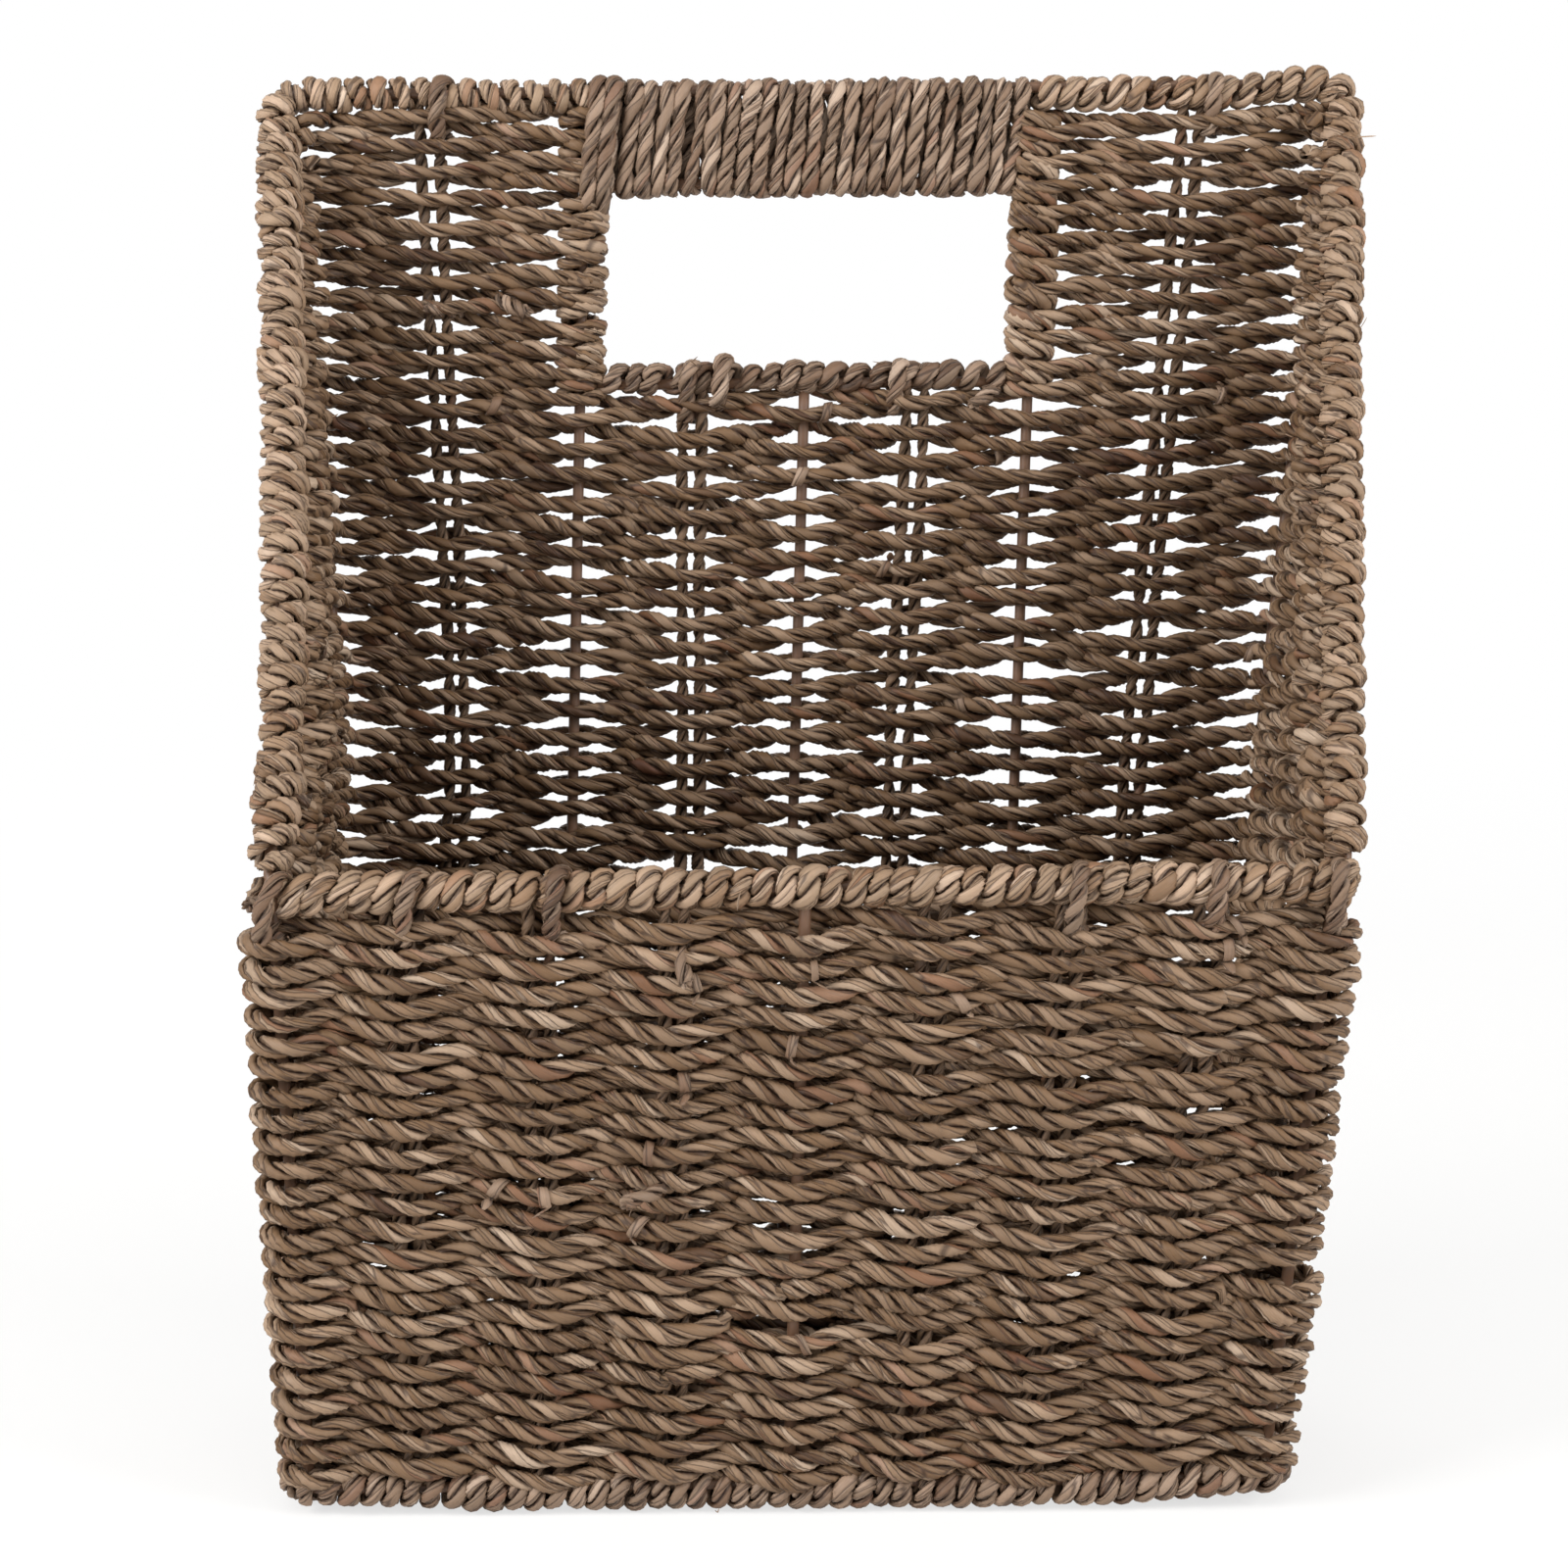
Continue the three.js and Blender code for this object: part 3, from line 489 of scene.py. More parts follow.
def rolled_seagrass(name, leaf_hexes, crease_shade_hex, stain_hex):
    """Dried seagrass, rolled by hand: leaf strips with thin dark edges, satin where the leaf is smooth, with
    painted shade in the creases between the plies and a painted highlight on the raised fibres.
    The fibres are drawn twice as coarse as they are, so that they show from a step away."""
    strip_width, strip_length, fibre_width, fibre_length = 3.0, 26.0, 0.26, 10.0
    bend_scale, bend_mm, relief_mm = 0.12, 1.6, 0.32
    tone_pull, stained_above, stain_share, fine_relief = 0.35, 0.94, 0.4, 0.4
    material, tree = new_material(name)
    fibre, crease_shade, tone = [add(tree, "Attribute", {"attribute_name": key})
                           for key in ("fibre", "crease_shade", "tone")]
    wander = add(tree, "TexNoise", sockets={"Scale": bend_scale, "Detail": 1.0},
                 links={"Vector": fibre.outputs["Vector"]})
    bent = add(tree, "VectorMath", {"operation": "MULTIPLY_ADD"}, {1: (bend_mm, bend_mm, 0)},
               {0: wander.outputs["Color"], 2: fibre.outputs["Vector"]})
    strip_place, fine_place = [
        add(tree, "VectorMath", {"operation": "MULTIPLY"}, {1: (1 / width, 1 / width, 1 / length)}, {0: bent})
        for width, length in ((strip_width, strip_length), (fibre_width, fibre_length))]
    strip, edge = [add(tree, "TexVoronoi", {"feature": feature}, {"Scale": 1.0},
                       {"Vector": strip_place}) for feature in ("F1", "DISTANCE_TO_EDGE")]
    fine = add(tree, "TexNoise", {}, {"Scale": 1.0, "Detail": 2.5, "Roughness": 0.6}, {"Vector": fine_place})
    pick = add(tree, "SeparateColor", links={0: strip.outputs["Color"]})
    spread, fibre_tone_and_painted_highlight, level, seam, deep, gloss, ridge = [
        add(tree, "MapRange", {"interpolation_type": blend},
            {"From Min": low, "From Max": high, "To Min": to_low, "To Max": to_high}, {0: source})
        for source, low, high, to_low, to_high, blend in (
            (pick, 0, 1, 0.2, 0.8, "LINEAR"),
            # the raised fibres' own tone, and partly a painted highlight, since the same noise raises them in
            # the bump
            (fine.outputs["Fac"], 0.3, 0.7, 0.86, 1.12, "LINEAR"),
            # the tone, which also holds painted light and shade by the way a row faces
            (tone.outputs["Fac"], -1, 1, 0.8, 1.14, "LINEAR"),
            (edge.outputs["Distance"], 0.012, 0.05, 0.66, 0, "LINEAR"),
            # painted shade in the creases between the plies
            (crease_shade.outputs["Fac"], 0.42, 0.95, 0, 0.95, "LINEAR"),
            (fine.outputs["Fac"], 0, 1, 0.46, 0.7, "LINEAR"),
            (edge.outputs["Distance"], 0, 0.12, 0, 1, "SMOOTHSTEP"))]
    drawn = add(tree, "Math", {"operation": "MULTIPLY_ADD"}, {1: tone_pull},
                {0: tone.outputs["Fac"], 2: spread})
    ramp = add(tree, "ValToRGB", links={0: drawn})
    for place, leaf_hex in enumerate(leaf_hexes):
        share = place / (len(leaf_hexes) - 1)
        stop = ramp.color_ramp.elements[place] if place < 2 else ramp.color_ramp.elements.new(share)
        stop.position = share
        stop.color = colour(leaf_hex)
    stained = add(tree, "Math", {"operation": "GREATER_THAN"}, {1: stained_above}, {0: pick.outputs[1]})
    stained = add(tree, "Math", {"operation": "MULTIPLY"}, {1: stain_share}, {0: stained})
    leaf = add(tree, "Mix", {"data_type": "RGBA"}, {7: colour(stain_hex)},
               {0: stained, 6: ramp})
    value = add(tree, "Math", {"operation": "MULTIPLY"}, links={0: fibre_tone_and_painted_highlight, 1: level})
    lit = add(tree, "VectorMath", {"operation": "SCALE"}, links={0: leaf.outputs[2], "Scale": value})
    # The strips' dark seams and the painted shade in the creases between the plies both draw the colour
    # towards the dark crease colour.
    seam_and_crease_shade = add(tree, "Math", {"operation": "MAXIMUM"}, links={0: seam, 1: deep})
    final = add(tree, "Mix", {"data_type": "RGBA"}, {7: colour(crease_shade_hex)}, {0: seam_and_crease_shade, 6: lit})
    relief = add(tree, "Math", {"operation": "MULTIPLY_ADD"}, {1: fine_relief},
                 {0: fine.outputs["Fac"], 2: ridge})
    bump = add(tree, "Bump", sockets={"Strength": 0.9, "Distance": relief_mm * MM},
               links={"Height": relief})
    shader = add(tree, "BsdfPrincipled", {}, {"IOR": 1.42},
                 {"Base Color": final.outputs[2], "Roughness": gloss, "Normal": bump})
    add(tree, "OutputMaterial", links={"Surface": shader})
    return material


# The third colour of each is the dark crease colour, painted shade where the plies meet.
woven_leaf, wound_leaf, bound_leaf, stake_leaf_in_painted_shade = [
    rolled_seagrass("rolled_seagrass_" + use, leaf_hexes, crease_shade_hex, stain_hex)
    for use, leaf_hexes, crease_shade_hex, stain_hex in (
        ("woven", ["#523724", "#74583d", "#7c624a", "#947a62", "#aa947f"], "#220e07", "#7a4a32"),
        ("wound", ["#6d5139", "#927459", "#9a8169", "#b1957d", "#c6b19d"], "#26120a", "#8e5e41"),
        ("bound", ["#574030", "#775c48", "#7f6956", "#947b67", "#b09a87"], "#200e08", "#7a4d36"),
        # The stakes' leaf is painted darker, as painted shade for lying behind the rows.
        ("stakes", ["#4b3626", "#66503c", "#725a45", "#806650", "#5c4736"], "#1a0e08", "#6e4229"))]


# Rope stakes
# Doubled ropes stand between the wires and carry the weave. Each pair is one rope folded over the rim wire.
# They show in the gaps between the rows, darker than the weft because they lie behind it, and their leaf
# colours are painted darker too, as painted shade.
stake_gap, stake_thick, stake_half_lay, stake_fold = 5.4, 4.0, 6.5, 2.4
uneven_stake, side_stake_steps, floor_stake_thin = (0.4, 30), 30, 0.9
front_shares = [-0.75, -0.49, -0.24, 0.24, 0.49, 0.75]
front_stops = sorted([*front_shares, 0])
back_shares, outer_share = [-0.72, -0.22, 0.22, 0.72], 0.5
side_shares = [0.25, 0.5, 0.75]


def stake_pair(name, line, across, out):
    """A rope that runs up beside a stake's line, over the wire at its top and down on the other side."""
    across = np.array(across) * stake_gap / 2
    fold = [line[-1] + across * math.cos(a) + np.array([0, 0, stake_fold]) * math.sin(a)
            for a in np.linspace(0, math.pi, 7)[1:-1]]
    path, run = even_steps(np.concatenate([line + across, fold, (line - across)[::-1]]), rope_step)
    path[:, 0] += uneven(run, *uneven_stake)
    ropes = Ropes()
    ropes.lay(path, out, stake_thick, stake_half_lay)
    ropes.piece(name + "_doubled_rope", stake_leaf_in_painted_shade, "stake_rope", name)


for i, share in enumerate(front_shares):
    stake_pair(f"front_stake_{i + 1}", upright(share, True, rim_z), (1, 0, 0), (0, -1, 0))
for i, share in enumerate(back_shares):
    top = top_z if abs(share) > outer_share else sill_z
    stake_pair(f"back_stake_{i + 1}", upright(share, False, top), (1, 0, 0), (0, 1, 0))
side_rows_y = [rim_front + share * (back_y - rim_front) for share in side_shares]
for side, word in sides:
    for i, y in enumerate(side_rows_y):
        top = rim_z + (y - rim_front) / (back_y - rim_front) * (top_z - rim_z)
        heights = np.linspace(base_z, top, side_stake_steps)
        line = np.stack([side * half_width(heights), np.full_like(heights, y), heights], axis=1)
        stake_pair(f"{word}_side_stake_{i + 1}", line, (0, 1, 0), (side, 0, 0))
for i, share in enumerate(front_shares):
    x = share * base_half
    line = even_steps([(x, base_front, base_z), (x, back_y, base_z)], rope_step)[0]
    ropes = Ropes()
    for offset in (-stake_gap / 2, stake_gap / 2):
        ropes.lay(line + [offset, 0, 0], (0, 0, 1), stake_thick * floor_stake_thin, stake_half_lay)
    ropes.piece(f"floor_stake_{i + 1}_doubled_rope", stake_leaf_in_painted_shade, "stake_rope", f"floor_stake_{i + 1}")


# Woven rows
# One rope goes in front of a stake and behind the next, and each row does the opposite of the row below.
# The rows below the rim run round all four walls. The crests sag on the outer side of the front wall.
row_pitch, first_row_z, last_row_z = 3.42, base_z + 5.6, rim_z - 9.0
weft_front, weft_low_back, weft_back = 5.6, 6.0, 5.25
crest_depth, corner_swell, corner_swell_tall = 3.7, 1.5, 0.6
row_corner = 9.0
half_bend = row_corner * math.pi / 4
corner_reach = 3 * half_bend
lay_spread, level_spread, shared_depth = 0.12, 0.25, 0.8
# Painted light on the side walls and painted shade on the back wall, as shares of the leaf's tone.
side_painted_light, back_painted_shade = 0.3, 0.28
uneven_depth, uneven_sag, uneven_level, uneven_weft = (0.12, 32), (0.45, 36), (0.55, 42), (0.1, 60)
# These pairs are for the back wall and for the front wall.
crest_sag, sag_power, stake_dip, looseness = (2.0, 1.8), (2.2, 1.0), (0.3, -0.3), (1.6, 1.0)
# These are for the side walls, up to the rim's level and from side_thin_reach above it.
side_depth, side_inset, side_thin_reach = (1.6, 0.4), (1.3, 2.3), 90.0
# These are how tall the rope's section is midway between two stakes and at a stake.
low_upright, tall_upright, tall_upright_power = (0.9, 1.03), (1.13, 0.91), 1.5
# These waves give the reach along the wall, the reach up it, a shift and the size.
drift_waves = [(33, 21, 0.4, 0.5), (-52, 34, 1.9, 0.65), (19, -47, 4.1, 0.3), (90, 13, 2.6, 0.4)]
depth_waves = [(27, -18, 0.9, 0.3), (-61, 25, 3.3, 0.35)]


class WallLoop:
    """The middle line of the four walls at one height, anticlockwise from the front left. It also gives
    the weave's phase, a multiple of pi at each stake and corner."""

    def __init__(self, z):
        self.half, self.front = float(half_width(z)), float(front_line(z))
        near = self.half - row_corner
        self.wide, self.deep = 2 * near, back_y - self.front - 2 * row_corner
        self.starts = np.cumsum([0.0, *[span + 2 * half_bend for span in (self.wide, self.deep) * 2]])
        self.length = self.starts[4]
        jamb = jamb_x / self.half
        walls = [[near + share * self.half for share in front_stops],
                 [y - (self.front + row_corner) for y in side_rows_y],
                 [near + share * self.half for share in sorted([*back_shares, 0, -jamb, jamb])],
                 [(back_y - row_corner) - y for y in side_rows_y[::-1]]]
        stops = [start + stop for start, wall in zip(self.starts, walls) for stop in (-half_bend, *wall)]
        self.stops = np.array([*stops, self.length - half_bend, self.length + stops[1]])
        self.phases = math.pi * np.arange(len(self.stops))

    def at(self, s):
        """Place and outward direction at lengths along the loop."""
        s = s % self.length
        half, front, r = self.half, self.front, row_corner
        lanes = [((-(half - r), front), (1, 0), (0, -1), self.wide),
                 ((half, front + r), (0, 1), (1, 0), self.deep),
                 ((half - r, back_y), (-1, 0), (0, 1), self.wide),
                 ((-half, back_y - r), (0, -1), (-1, 0), self.deep)]
        place, out = np.zeros((len(s), 2)), np.zeros((len(s), 2))
        for start, (*lane, span) in zip(self.starts, lanes):
            origin, way, face = np.array(lane, float)
            on = (s >= start) & (s < start + span + 2 * half_bend)
            forward = np.minimum(s[on] - start, span)
            bend = np.clip(s[on] - start - span, 0, None) / r
            out[on] = face * np.cos(bend)[:, None] + way * np.sin(bend)[:, None]
            place[on] = origin + way * forward[:, None] - face * r + out[on] * r
        return place, out

    def phase(self, s):
        """The weave's phase at lengths along the loop."""
        return np.interp(s % self.length, self.stops, self.phases)

    def corner_share(self, s):
        """How near a length is to a corner: 1 in the middle of the bend and 0 some way from it."""
        away = np.abs((s % self.length)[:, None] - (self.starts - half_bend)).min(axis=1)
        return ease(1 - away / corner_reach)


def between(pair, share):
    """A value on the way from the first to the second of a pair."""
    return pair[0] + (pair[1] - pair[0]) * share


def shared_wander(x, z, waves):
    """A smooth wander shared by neighbouring rows, so that they drift together."""
    return sum(size * np.sin(x / reach_x + z / reach_z + shift) for reach_x, reach_z, shift, size in waves)


def weave_path(loop, s, z, parity, fade=1.0, level_share=1.0, nudge=0.0, turned=0.0):
    """The rope's middle line over stretch s of a wall loop, with its outward direction, thickness and
    upright scale. fade draws it to the wall's middle, level_share takes the crests' rise and fall away,
    nudge shifts it up and turned draws it inwards."""
    place, out = loop.at(s)
    phase = loop.phase(s)
    run = np.abs(s - s[0])
    swing = np.cos(phase) * parity
    front_share = np.clip(1 - (place[:, 1] - loop.front) / (back_y - loop.front), 0, 1)
    sideways = np.abs(out[:, 0]) ** 3
    thinned = ease((z - rim_z) / side_thin_reach)
    depth = (crest_depth + between(side_depth, thinned) * sideways) * (1 + uneven(run, *uneven_depth))
    sag = between(crest_sag, front_share) + uneven(run, *uneven_sag)
    lift = out[:, 1] ** 3 * sag * swing * np.abs(swing) ** between(sag_power, front_share)
    lift = lift + between(stake_dip, front_share) * np.cos(2 * phase)
    swell = (corner_swell if z < rim_z else corner_swell_tall) * loop.corner_share(s)
    shift = depth * swing + shared_wander(s, z, depth_waves) * shared_depth + swell
    shift = shift - between(side_inset, thinned) * sideways
    loose = between(looseness, front_share)
    wander = loose * (shared_wander(s, z, drift_waves) + uneven(run, *uneven_level))
    level = z + lift * fade * level_share + wander + rng.uniform(-level_spread, level_spread) + nudge
    points = np.column_stack([place + out * (shift * fade - turned)[:, None], level])
    behind = weft_low_back if z < rim_z else weft_back
    thick = between((behind, weft_front), front_share) * (1 + uneven(run, *uneven_weft))
    swing = np.abs(swing)
    upright = between(low_upright, swing) if z < rim_z else between(tall_upright, swing ** tall_upright_power)
    return points, np.column_stack([out, np.zeros(len(out))]), thick, upright


def painted_light_by_facing(out):
    """Painted light and shade by the way the leaf faces: the sides are painted lighter and the back darker.
    """
    return side_painted_light * out[:, 0] ** 2 - back_painted_shade * np.clip(out[:, 1], 0, 1) ** 2


# Every row's middle line is kept, for the leaf bands and loose fibres of the last section.
row_lines = []


def lay_row(ropes, path, out, thick, upright, ring=False):
    """Lays one row of the weave and keeps its line."""
    row_lines.append((path, out, thick))
    half_lay = half_lay_mm * (1 + lay_spread * rng.uniform(-1, 1))
    # The row's leaf is painted lighter or darker by the way it faces, as painted light and shade.
    ropes.lay(path, out, thick, half_lay, wide=upright, ring=ring, pale=painted_light_by_facing(out))


row_levels = np.arange(first_row_z, last_row_z, row_pitch)
wall_pieces, back_pieces = 5, 2
back_pitch, above_low_rows, under_sill, under_rail, loose_rows = 3.95, 4.0, 6.2, 7.0, 0.75
tall_low, tall_high = row_levels[-1] + above_low_rows, sill_z - under_sill
tall_levels = np.linspace(tall_low, tall_high, round((tall_high - tall_low) / back_pitch) + 1)
first_wing_row = len(row_levels) + len(tall_levels)


def row_parity(row):
    """Which side of the stakes a row starts on, so that the first row beside the hand hole passes on the
    inner side of the hole's upright."""
    return -1 if (row - first_wing_row) % 2 == 0 else 1


for number, band in enumerate(np.array_split(np.arange(len(row_levels)), wall_pieces)):
    ropes = Ropes()
    for row in band:
        loop = WallLoop(row_levels[row])
        s = rng.uniform(0, loop.length) + np.linspace(0, loop.length, int(loop.length / rope_step) + 1)
        path, out, thick, upright = weave_path(loop, s, row_levels[row], row_parity(row))
        path[-1], thick[-1] = path[0], thick[0]
        lay_row(ropes, path, out, thick, upright, ring=True)
    ropes.piece(f"woven_rows_round_walls_{number + 1}", woven_leaf, "woven_rope",
                "front_weave", "back_weave", "left_side_weave", "right_side_weave")


# Woven rows of the tall back
# Above the front rim a row runs from one sloping side rim round the back to the other, and turns back there.
# Beside the hand hole each pair of rows is one rope, wound one and a half times round the hole's upright.
rim_cover, end_reach, turn_reach, turn_length = 1.0, 10.0, 7.5, 10.0
wrap_reach, wrap_side_reach, wrap_turns, wrap_points = 3.9, 5.4, 1.5, 24
wrap_thick, wrap_upright, wing_thin, least_steps = 5.5, 1.05, 0.95, 8
jamb_reach, jamb_nudge = 15, 0.5


def row_ends(loop, z):
    """Where a row meets the rim on the right and on the left side wall, as lengths on its loop."""
    y = float(np.interp(z, [rim_z, top_z], [rim_front, back_y])) + rim_cover
    if y > back_y - row_corner:
        bend = half_bend * 2 * (y - (back_y - row_corner)) / row_corner
        return loop.starts[1] + loop.deep + bend, loop.starts[3] - bend
    from_front = max(y - (loop.front + row_corner), 0)
    return loop.starts[1] + from_front, loop.starts[3] + min(back_y - row_corner - y, loop.deep)


def end_fade(s, first, last):
    """Draws the rope in to the wall's middle where it goes under the rim's winding."""
    return ease(np.minimum(s - first, last - s) / end_reach)


def end_turn(s, first, last):
    """How far a row bulges inwards where it turns back beside the rim."""
    return turn_reach * np.sin(math.pi * np.clip(np.minimum(s - first, last - s) / turn_length, 0, 1))


for number, band in enumerate(np.array_split(np.arange(len(tall_levels)), back_pieces)):
    ropes = Ropes()
    for row in band:
        z = tall_levels[row] + rng.uniform(-loose_rows, loose_rows)
        loop = WallLoop(z)
        ends = row_ends(loop, z)
        s = np.linspace(*ends, int((ends[1] - ends[0]) / rope_step))
        parity = row_parity(len(row_levels) + row)
        lay_row(ropes, *weave_path(loop, s, z, parity, end_fade(s, *ends), turned=end_turn(s, *ends)))
    ropes.piece(f"woven_rows_tall_back_{number + 1}", woven_leaf, "woven_rope",
                "back_weave", "left_side_weave", "right_side_weave")

wing_bottom, wing_top = tall_levels[-1] + back_pitch, top_z - under_rail
wing_levels = np.linspace(wing_bottom, wing_top, 2 * round((wing_top - wing_bottom) / back_pitch / 2 + 0.5))
wing_pitch = wing_levels[1] - wing_levels[0]
for side, word in sides[::-1]:
    ropes = Ropes()
    for row in range(0, len(wing_levels), 2):
        stretches = []
        for step in (0, 1):
            z = wing_levels[row + step] + rng.uniform(-loose_rows, loose_rows)
            loop = WallLoop(z)
            ends = row_ends(loop, z)
            jamb_s = loop.starts[2] + (loop.half - row_corner) - side * jamb_x
            first, last = (ends[0], jamb_s) if side > 0 else (jamb_s, ends[1])
            s = np.linspace(first, last, max(int((last - first) / rope_step), least_steps))
            near = ease(1 - np.abs(s - jamb_s) / jamb_reach)
            nudge = near * wing_pitch * (jamb_nudge if step else -jamb_nudge)
            stretch = weave_path(loop, s, z, row_parity(first_wing_row + row + step),
                                 end_fade(s, *ends), 1 - near, nudge, end_turn(s, *ends))
            stretches.append([values[::side] for values in stretch])
        below, above = stretches
        wrap = np.linspace(0, 2 * math.pi * wrap_turns, wrap_points)[1:-1]
        around = np.column_stack([-side * np.sin(wrap), -np.cos(wrap), np.zeros(len(wrap))])
        start, end = below[0][-1], above[0][-1]
        wrap_path = start + (end - start) * (wrap / wrap[-1])[:, None]
        wrap_path[:, :2] = [side * jamb_x, back_y]
        wrap_path = wrap_path + around * [wrap_side_reach, wrap_reach, 0]
        path = np.concatenate([below[0], wrap_path, above[0][::-1]])
        out = np.concatenate([-below[1], around, above[1][::-1]])
        thick = np.concatenate([wing_thin * below[2], np.full(len(wrap), wrap_thick),
                                wing_thin * above[2][::-1]])
        upright = np.concatenate([below[3], np.full(len(wrap), wrap_upright), above[3][::-1]])
        # These rows are painted lighter or darker by the way they face, as painted light and shade.
        ropes.lay(path, out, thick, wide=upright, pale=painted_light_by_facing(out))
    ropes.piece(f"woven_rows_beside_hand_hole_{word}", woven_leaf, "woven_rope", f"back_wing_{word}")


# Woven floor
# The floor's rows run from side to side, over and under the stakes that cross it from front to back.
# It is thinner than the walls and sits just inside the base ring.
floor_low, floor_high = corner_mm("floor_weave")
floor_mid = (floor_low[2] + floor_high[2]) / 2
floor_pitch, floor_swing, floor_thick, floor_edge = 3.9, 2.2, 4.9, 3.5
floor_front_gap, floor_back_gap, floor_wander, floor_sway = 5.6, 5.0, 0.6, 0.9
floor_upright = (0.9, 1.02)
floor_stops = np.array([-1, *front_stops, 1]) * base_half
ropes = Ropes()
for row, y in enumerate(np.arange(base_front + floor_front_gap, back_y - floor_back_gap, floor_pitch)):
    x = np.linspace(-base_half + floor_edge, base_half - floor_edge, int(2 * base_half / rope_step))
    swing = np.cos(np.interp(x, floor_stops, math.pi * np.arange(len(floor_stops)))) * (1 if row % 2 else -1)
    row_y = y + shared_wander(x, y, drift_waves) * floor_wander - floor_sway * swing
    path = np.column_stack([x, row_y, floor_mid + floor_swing * swing])
    ropes.lay(path, (0, 0, 1), floor_thick, wide=between(floor_upright, np.abs(swing)))
ropes.piece("woven_floor_rows", woven_leaf, "woven_rope", "floor_weave")


# Wound rims, base and sill
# When the weaving is done, rope is wound tightly round the wires, so that no metal shows along the edges.
# Each turn is a fat knuckle of leaf that leans with the winding.
winding_step, line_step, ends_length = 1.25, 0.5, 17
# The turns' angle and reach are uneven: each pair is a share and the turns over which it changes.
uneven_angle, uneven_reach = (0.1, 1.3), (0.09, 0.8)
wound_lines = []


def winding(name, material, nodes, line, up, radius, pitch, thick, hand=-1, half_lay=7.0, wide=1.15,
            wobble=1.0, ends=0.0, pale=0.0):
    """Winds a rope round a line. up is a direction across the line from which the angle of each turn counts,
    wobble makes the turns less regular, and ends widens them towards both ends."""
    line, run = even_steps(line, line_step)
    up, side = square_to(unit(np.gradient(line, axis=0)), up)
    share, turns = uneven_angle
    angle = hand * 2 * math.pi * (run / pitch + uneven(run, share * wobble, pitch * turns))
    share, turns = uneven_reach
    reach = radius * (1 + uneven(run, share * wobble, pitch * turns))
    reach = reach + ends * ease(1 - np.minimum(run, run[-1] - run) / ends_length)
    out = np.cos(angle)[:, None] * up + np.sin(angle)[:, None] * side
    cord = lengths_run(line + out * reach[:, None])
    at = np.linspace(0, cord[-1], max(int(cord[-1] / winding_step), least_steps))
    out = points_at(at, cord, out)
    path = points_at(at, cord, line) + unit(out) * np.interp(at, cord, reach)[:, None]
    wound_lines.append((path, unit(out), np.full(len(path), thick)))
    ropes = Ropes()
    ropes.lay(path, out, thick, half_lay, flat=0.8, wide=wide, rough=1.5, taper=5.0, pale=pale)
    ropes.piece(name, material, "wound_rope", *nodes)


upwards = (0, 0, 1)
base_lift = 0.4
winding("base_ring_winding", bound_leaf,
        ["base_binding_front", "base_binding_right", "base_binding_back", "base_binding_left"],
        base_line + [0, 0, base_lift], upwards, radius=3.65, pitch=5.6, thick=4.9, pale=0.22)

rim_end, rim_bend, end_drop = rim_half + 2.2, rim_half - 15.0, 1.6
front_rim_line = [(-rim_end, rim_front, rim_z - end_drop), (-rim_bend, rim_front, rim_z),
                  (rim_bend, rim_front, rim_z), (rim_end, rim_front, rim_z - end_drop)]
winding("front_rim_rope_winding", wound_leaf, ["front_rim_winding_left", "front_rim_winding_right"],
        front_rim_line, upwards, radius=3.7, pitch=6.2, thick=5.5, half_lay=6.6, ends=1.8, pale=-0.22)

side_rims = {
    # reach, pitch, thickness and paleness of the side rim, and where the top rail's rope starts
    "left": (4.4, 6.8, 6.1, 0.0, bar_high[0] - 4.0),
    "right": (4.0, 6.6, 5.8, -0.2, bar_high[0] - 1.5),
}
side_rim_start, side_rim_end, side_rim_up, rail_drop, rail_bend = 0.025, 0.98, 0.2, 7, 7.0
for side, word in sides:
    reach, pitch, thick, pale, rail_start = side_rims[word]
    start = np.array([side * rim_half, rim_front, rim_z])
    slope = np.array([side * top_half, back_y, top_z]) - start
    winding(f"{word}_side_rim_rope_winding", wound_leaf, [f"{word}_side_rim_binding"],
            [start + slope * side_rim_start, start + slope * side_rim_end], (side, 0, side_rim_up),
            reach, pitch, thick, hand=1, half_lay=6.0, wide=1.2, wobble=1.8, pale=pale)
    rail_line = rounded([(side * rail_start, back_y, top_z), (side * (top_half - 2), back_y, top_z),
                         (side * top_half, back_y, top_z - rail_drop)], rail_bend)
    winding(f"top_rail_rope_winding_{word}", wound_leaf, [f"top_rail_binding_{word}"], rail_line, upwards,
            radius=3.4, pitch=6.6, thick=5.4, hand=-side)

sill_up, sill_end = 1.8, jamb_x - 4
winding("sill_rope_winding", bound_leaf, ["sill_winding"],
        [(-sill_end, back_y, sill_z + sill_up), (sill_end, back_y, sill_z + sill_up)], upwards,
        radius=3.0, pitch=6.8, thick=4.9, half_lay=6.4, wide=1.2, wobble=2.2)


# Handle
# The two bars of the handle are wound together: 26 long turns side by side, and two loops at the left end.
# The rope is drawn tight, so the turns lie nearly upright and lean a little to the right.
handle_turns, turn_steps, handle_reach, handle_inset = 26, 90, 2.9, 2.4
handle_thick, handle_flat, handle_lean, low_z = 5.3, 0.85, 0.7, bar_z + 0.6
uneven_turn_x, uneven_turn_y, uneven_turn_thick = (0.75, 23), (0.5, 15), (0.1, 34)
front_wide, back_wide, bar_widening, bar_reach = 0.88, 1.3, 0.12, 7
loop_places, loop_corner = (-65.2, -60.8), 4.5
handle_low, handle_high = corner_mm("handle_winding")
handle_half = (handle_high[0] - handle_low[0]) / 2 - handle_inset
tall, bend = top_z - low_z, math.pi * handle_reach
laps = np.linspace(0, handle_turns, handle_turns * turn_steps + 1)
at = (laps % 1) * (2 * tall + 2 * bend)
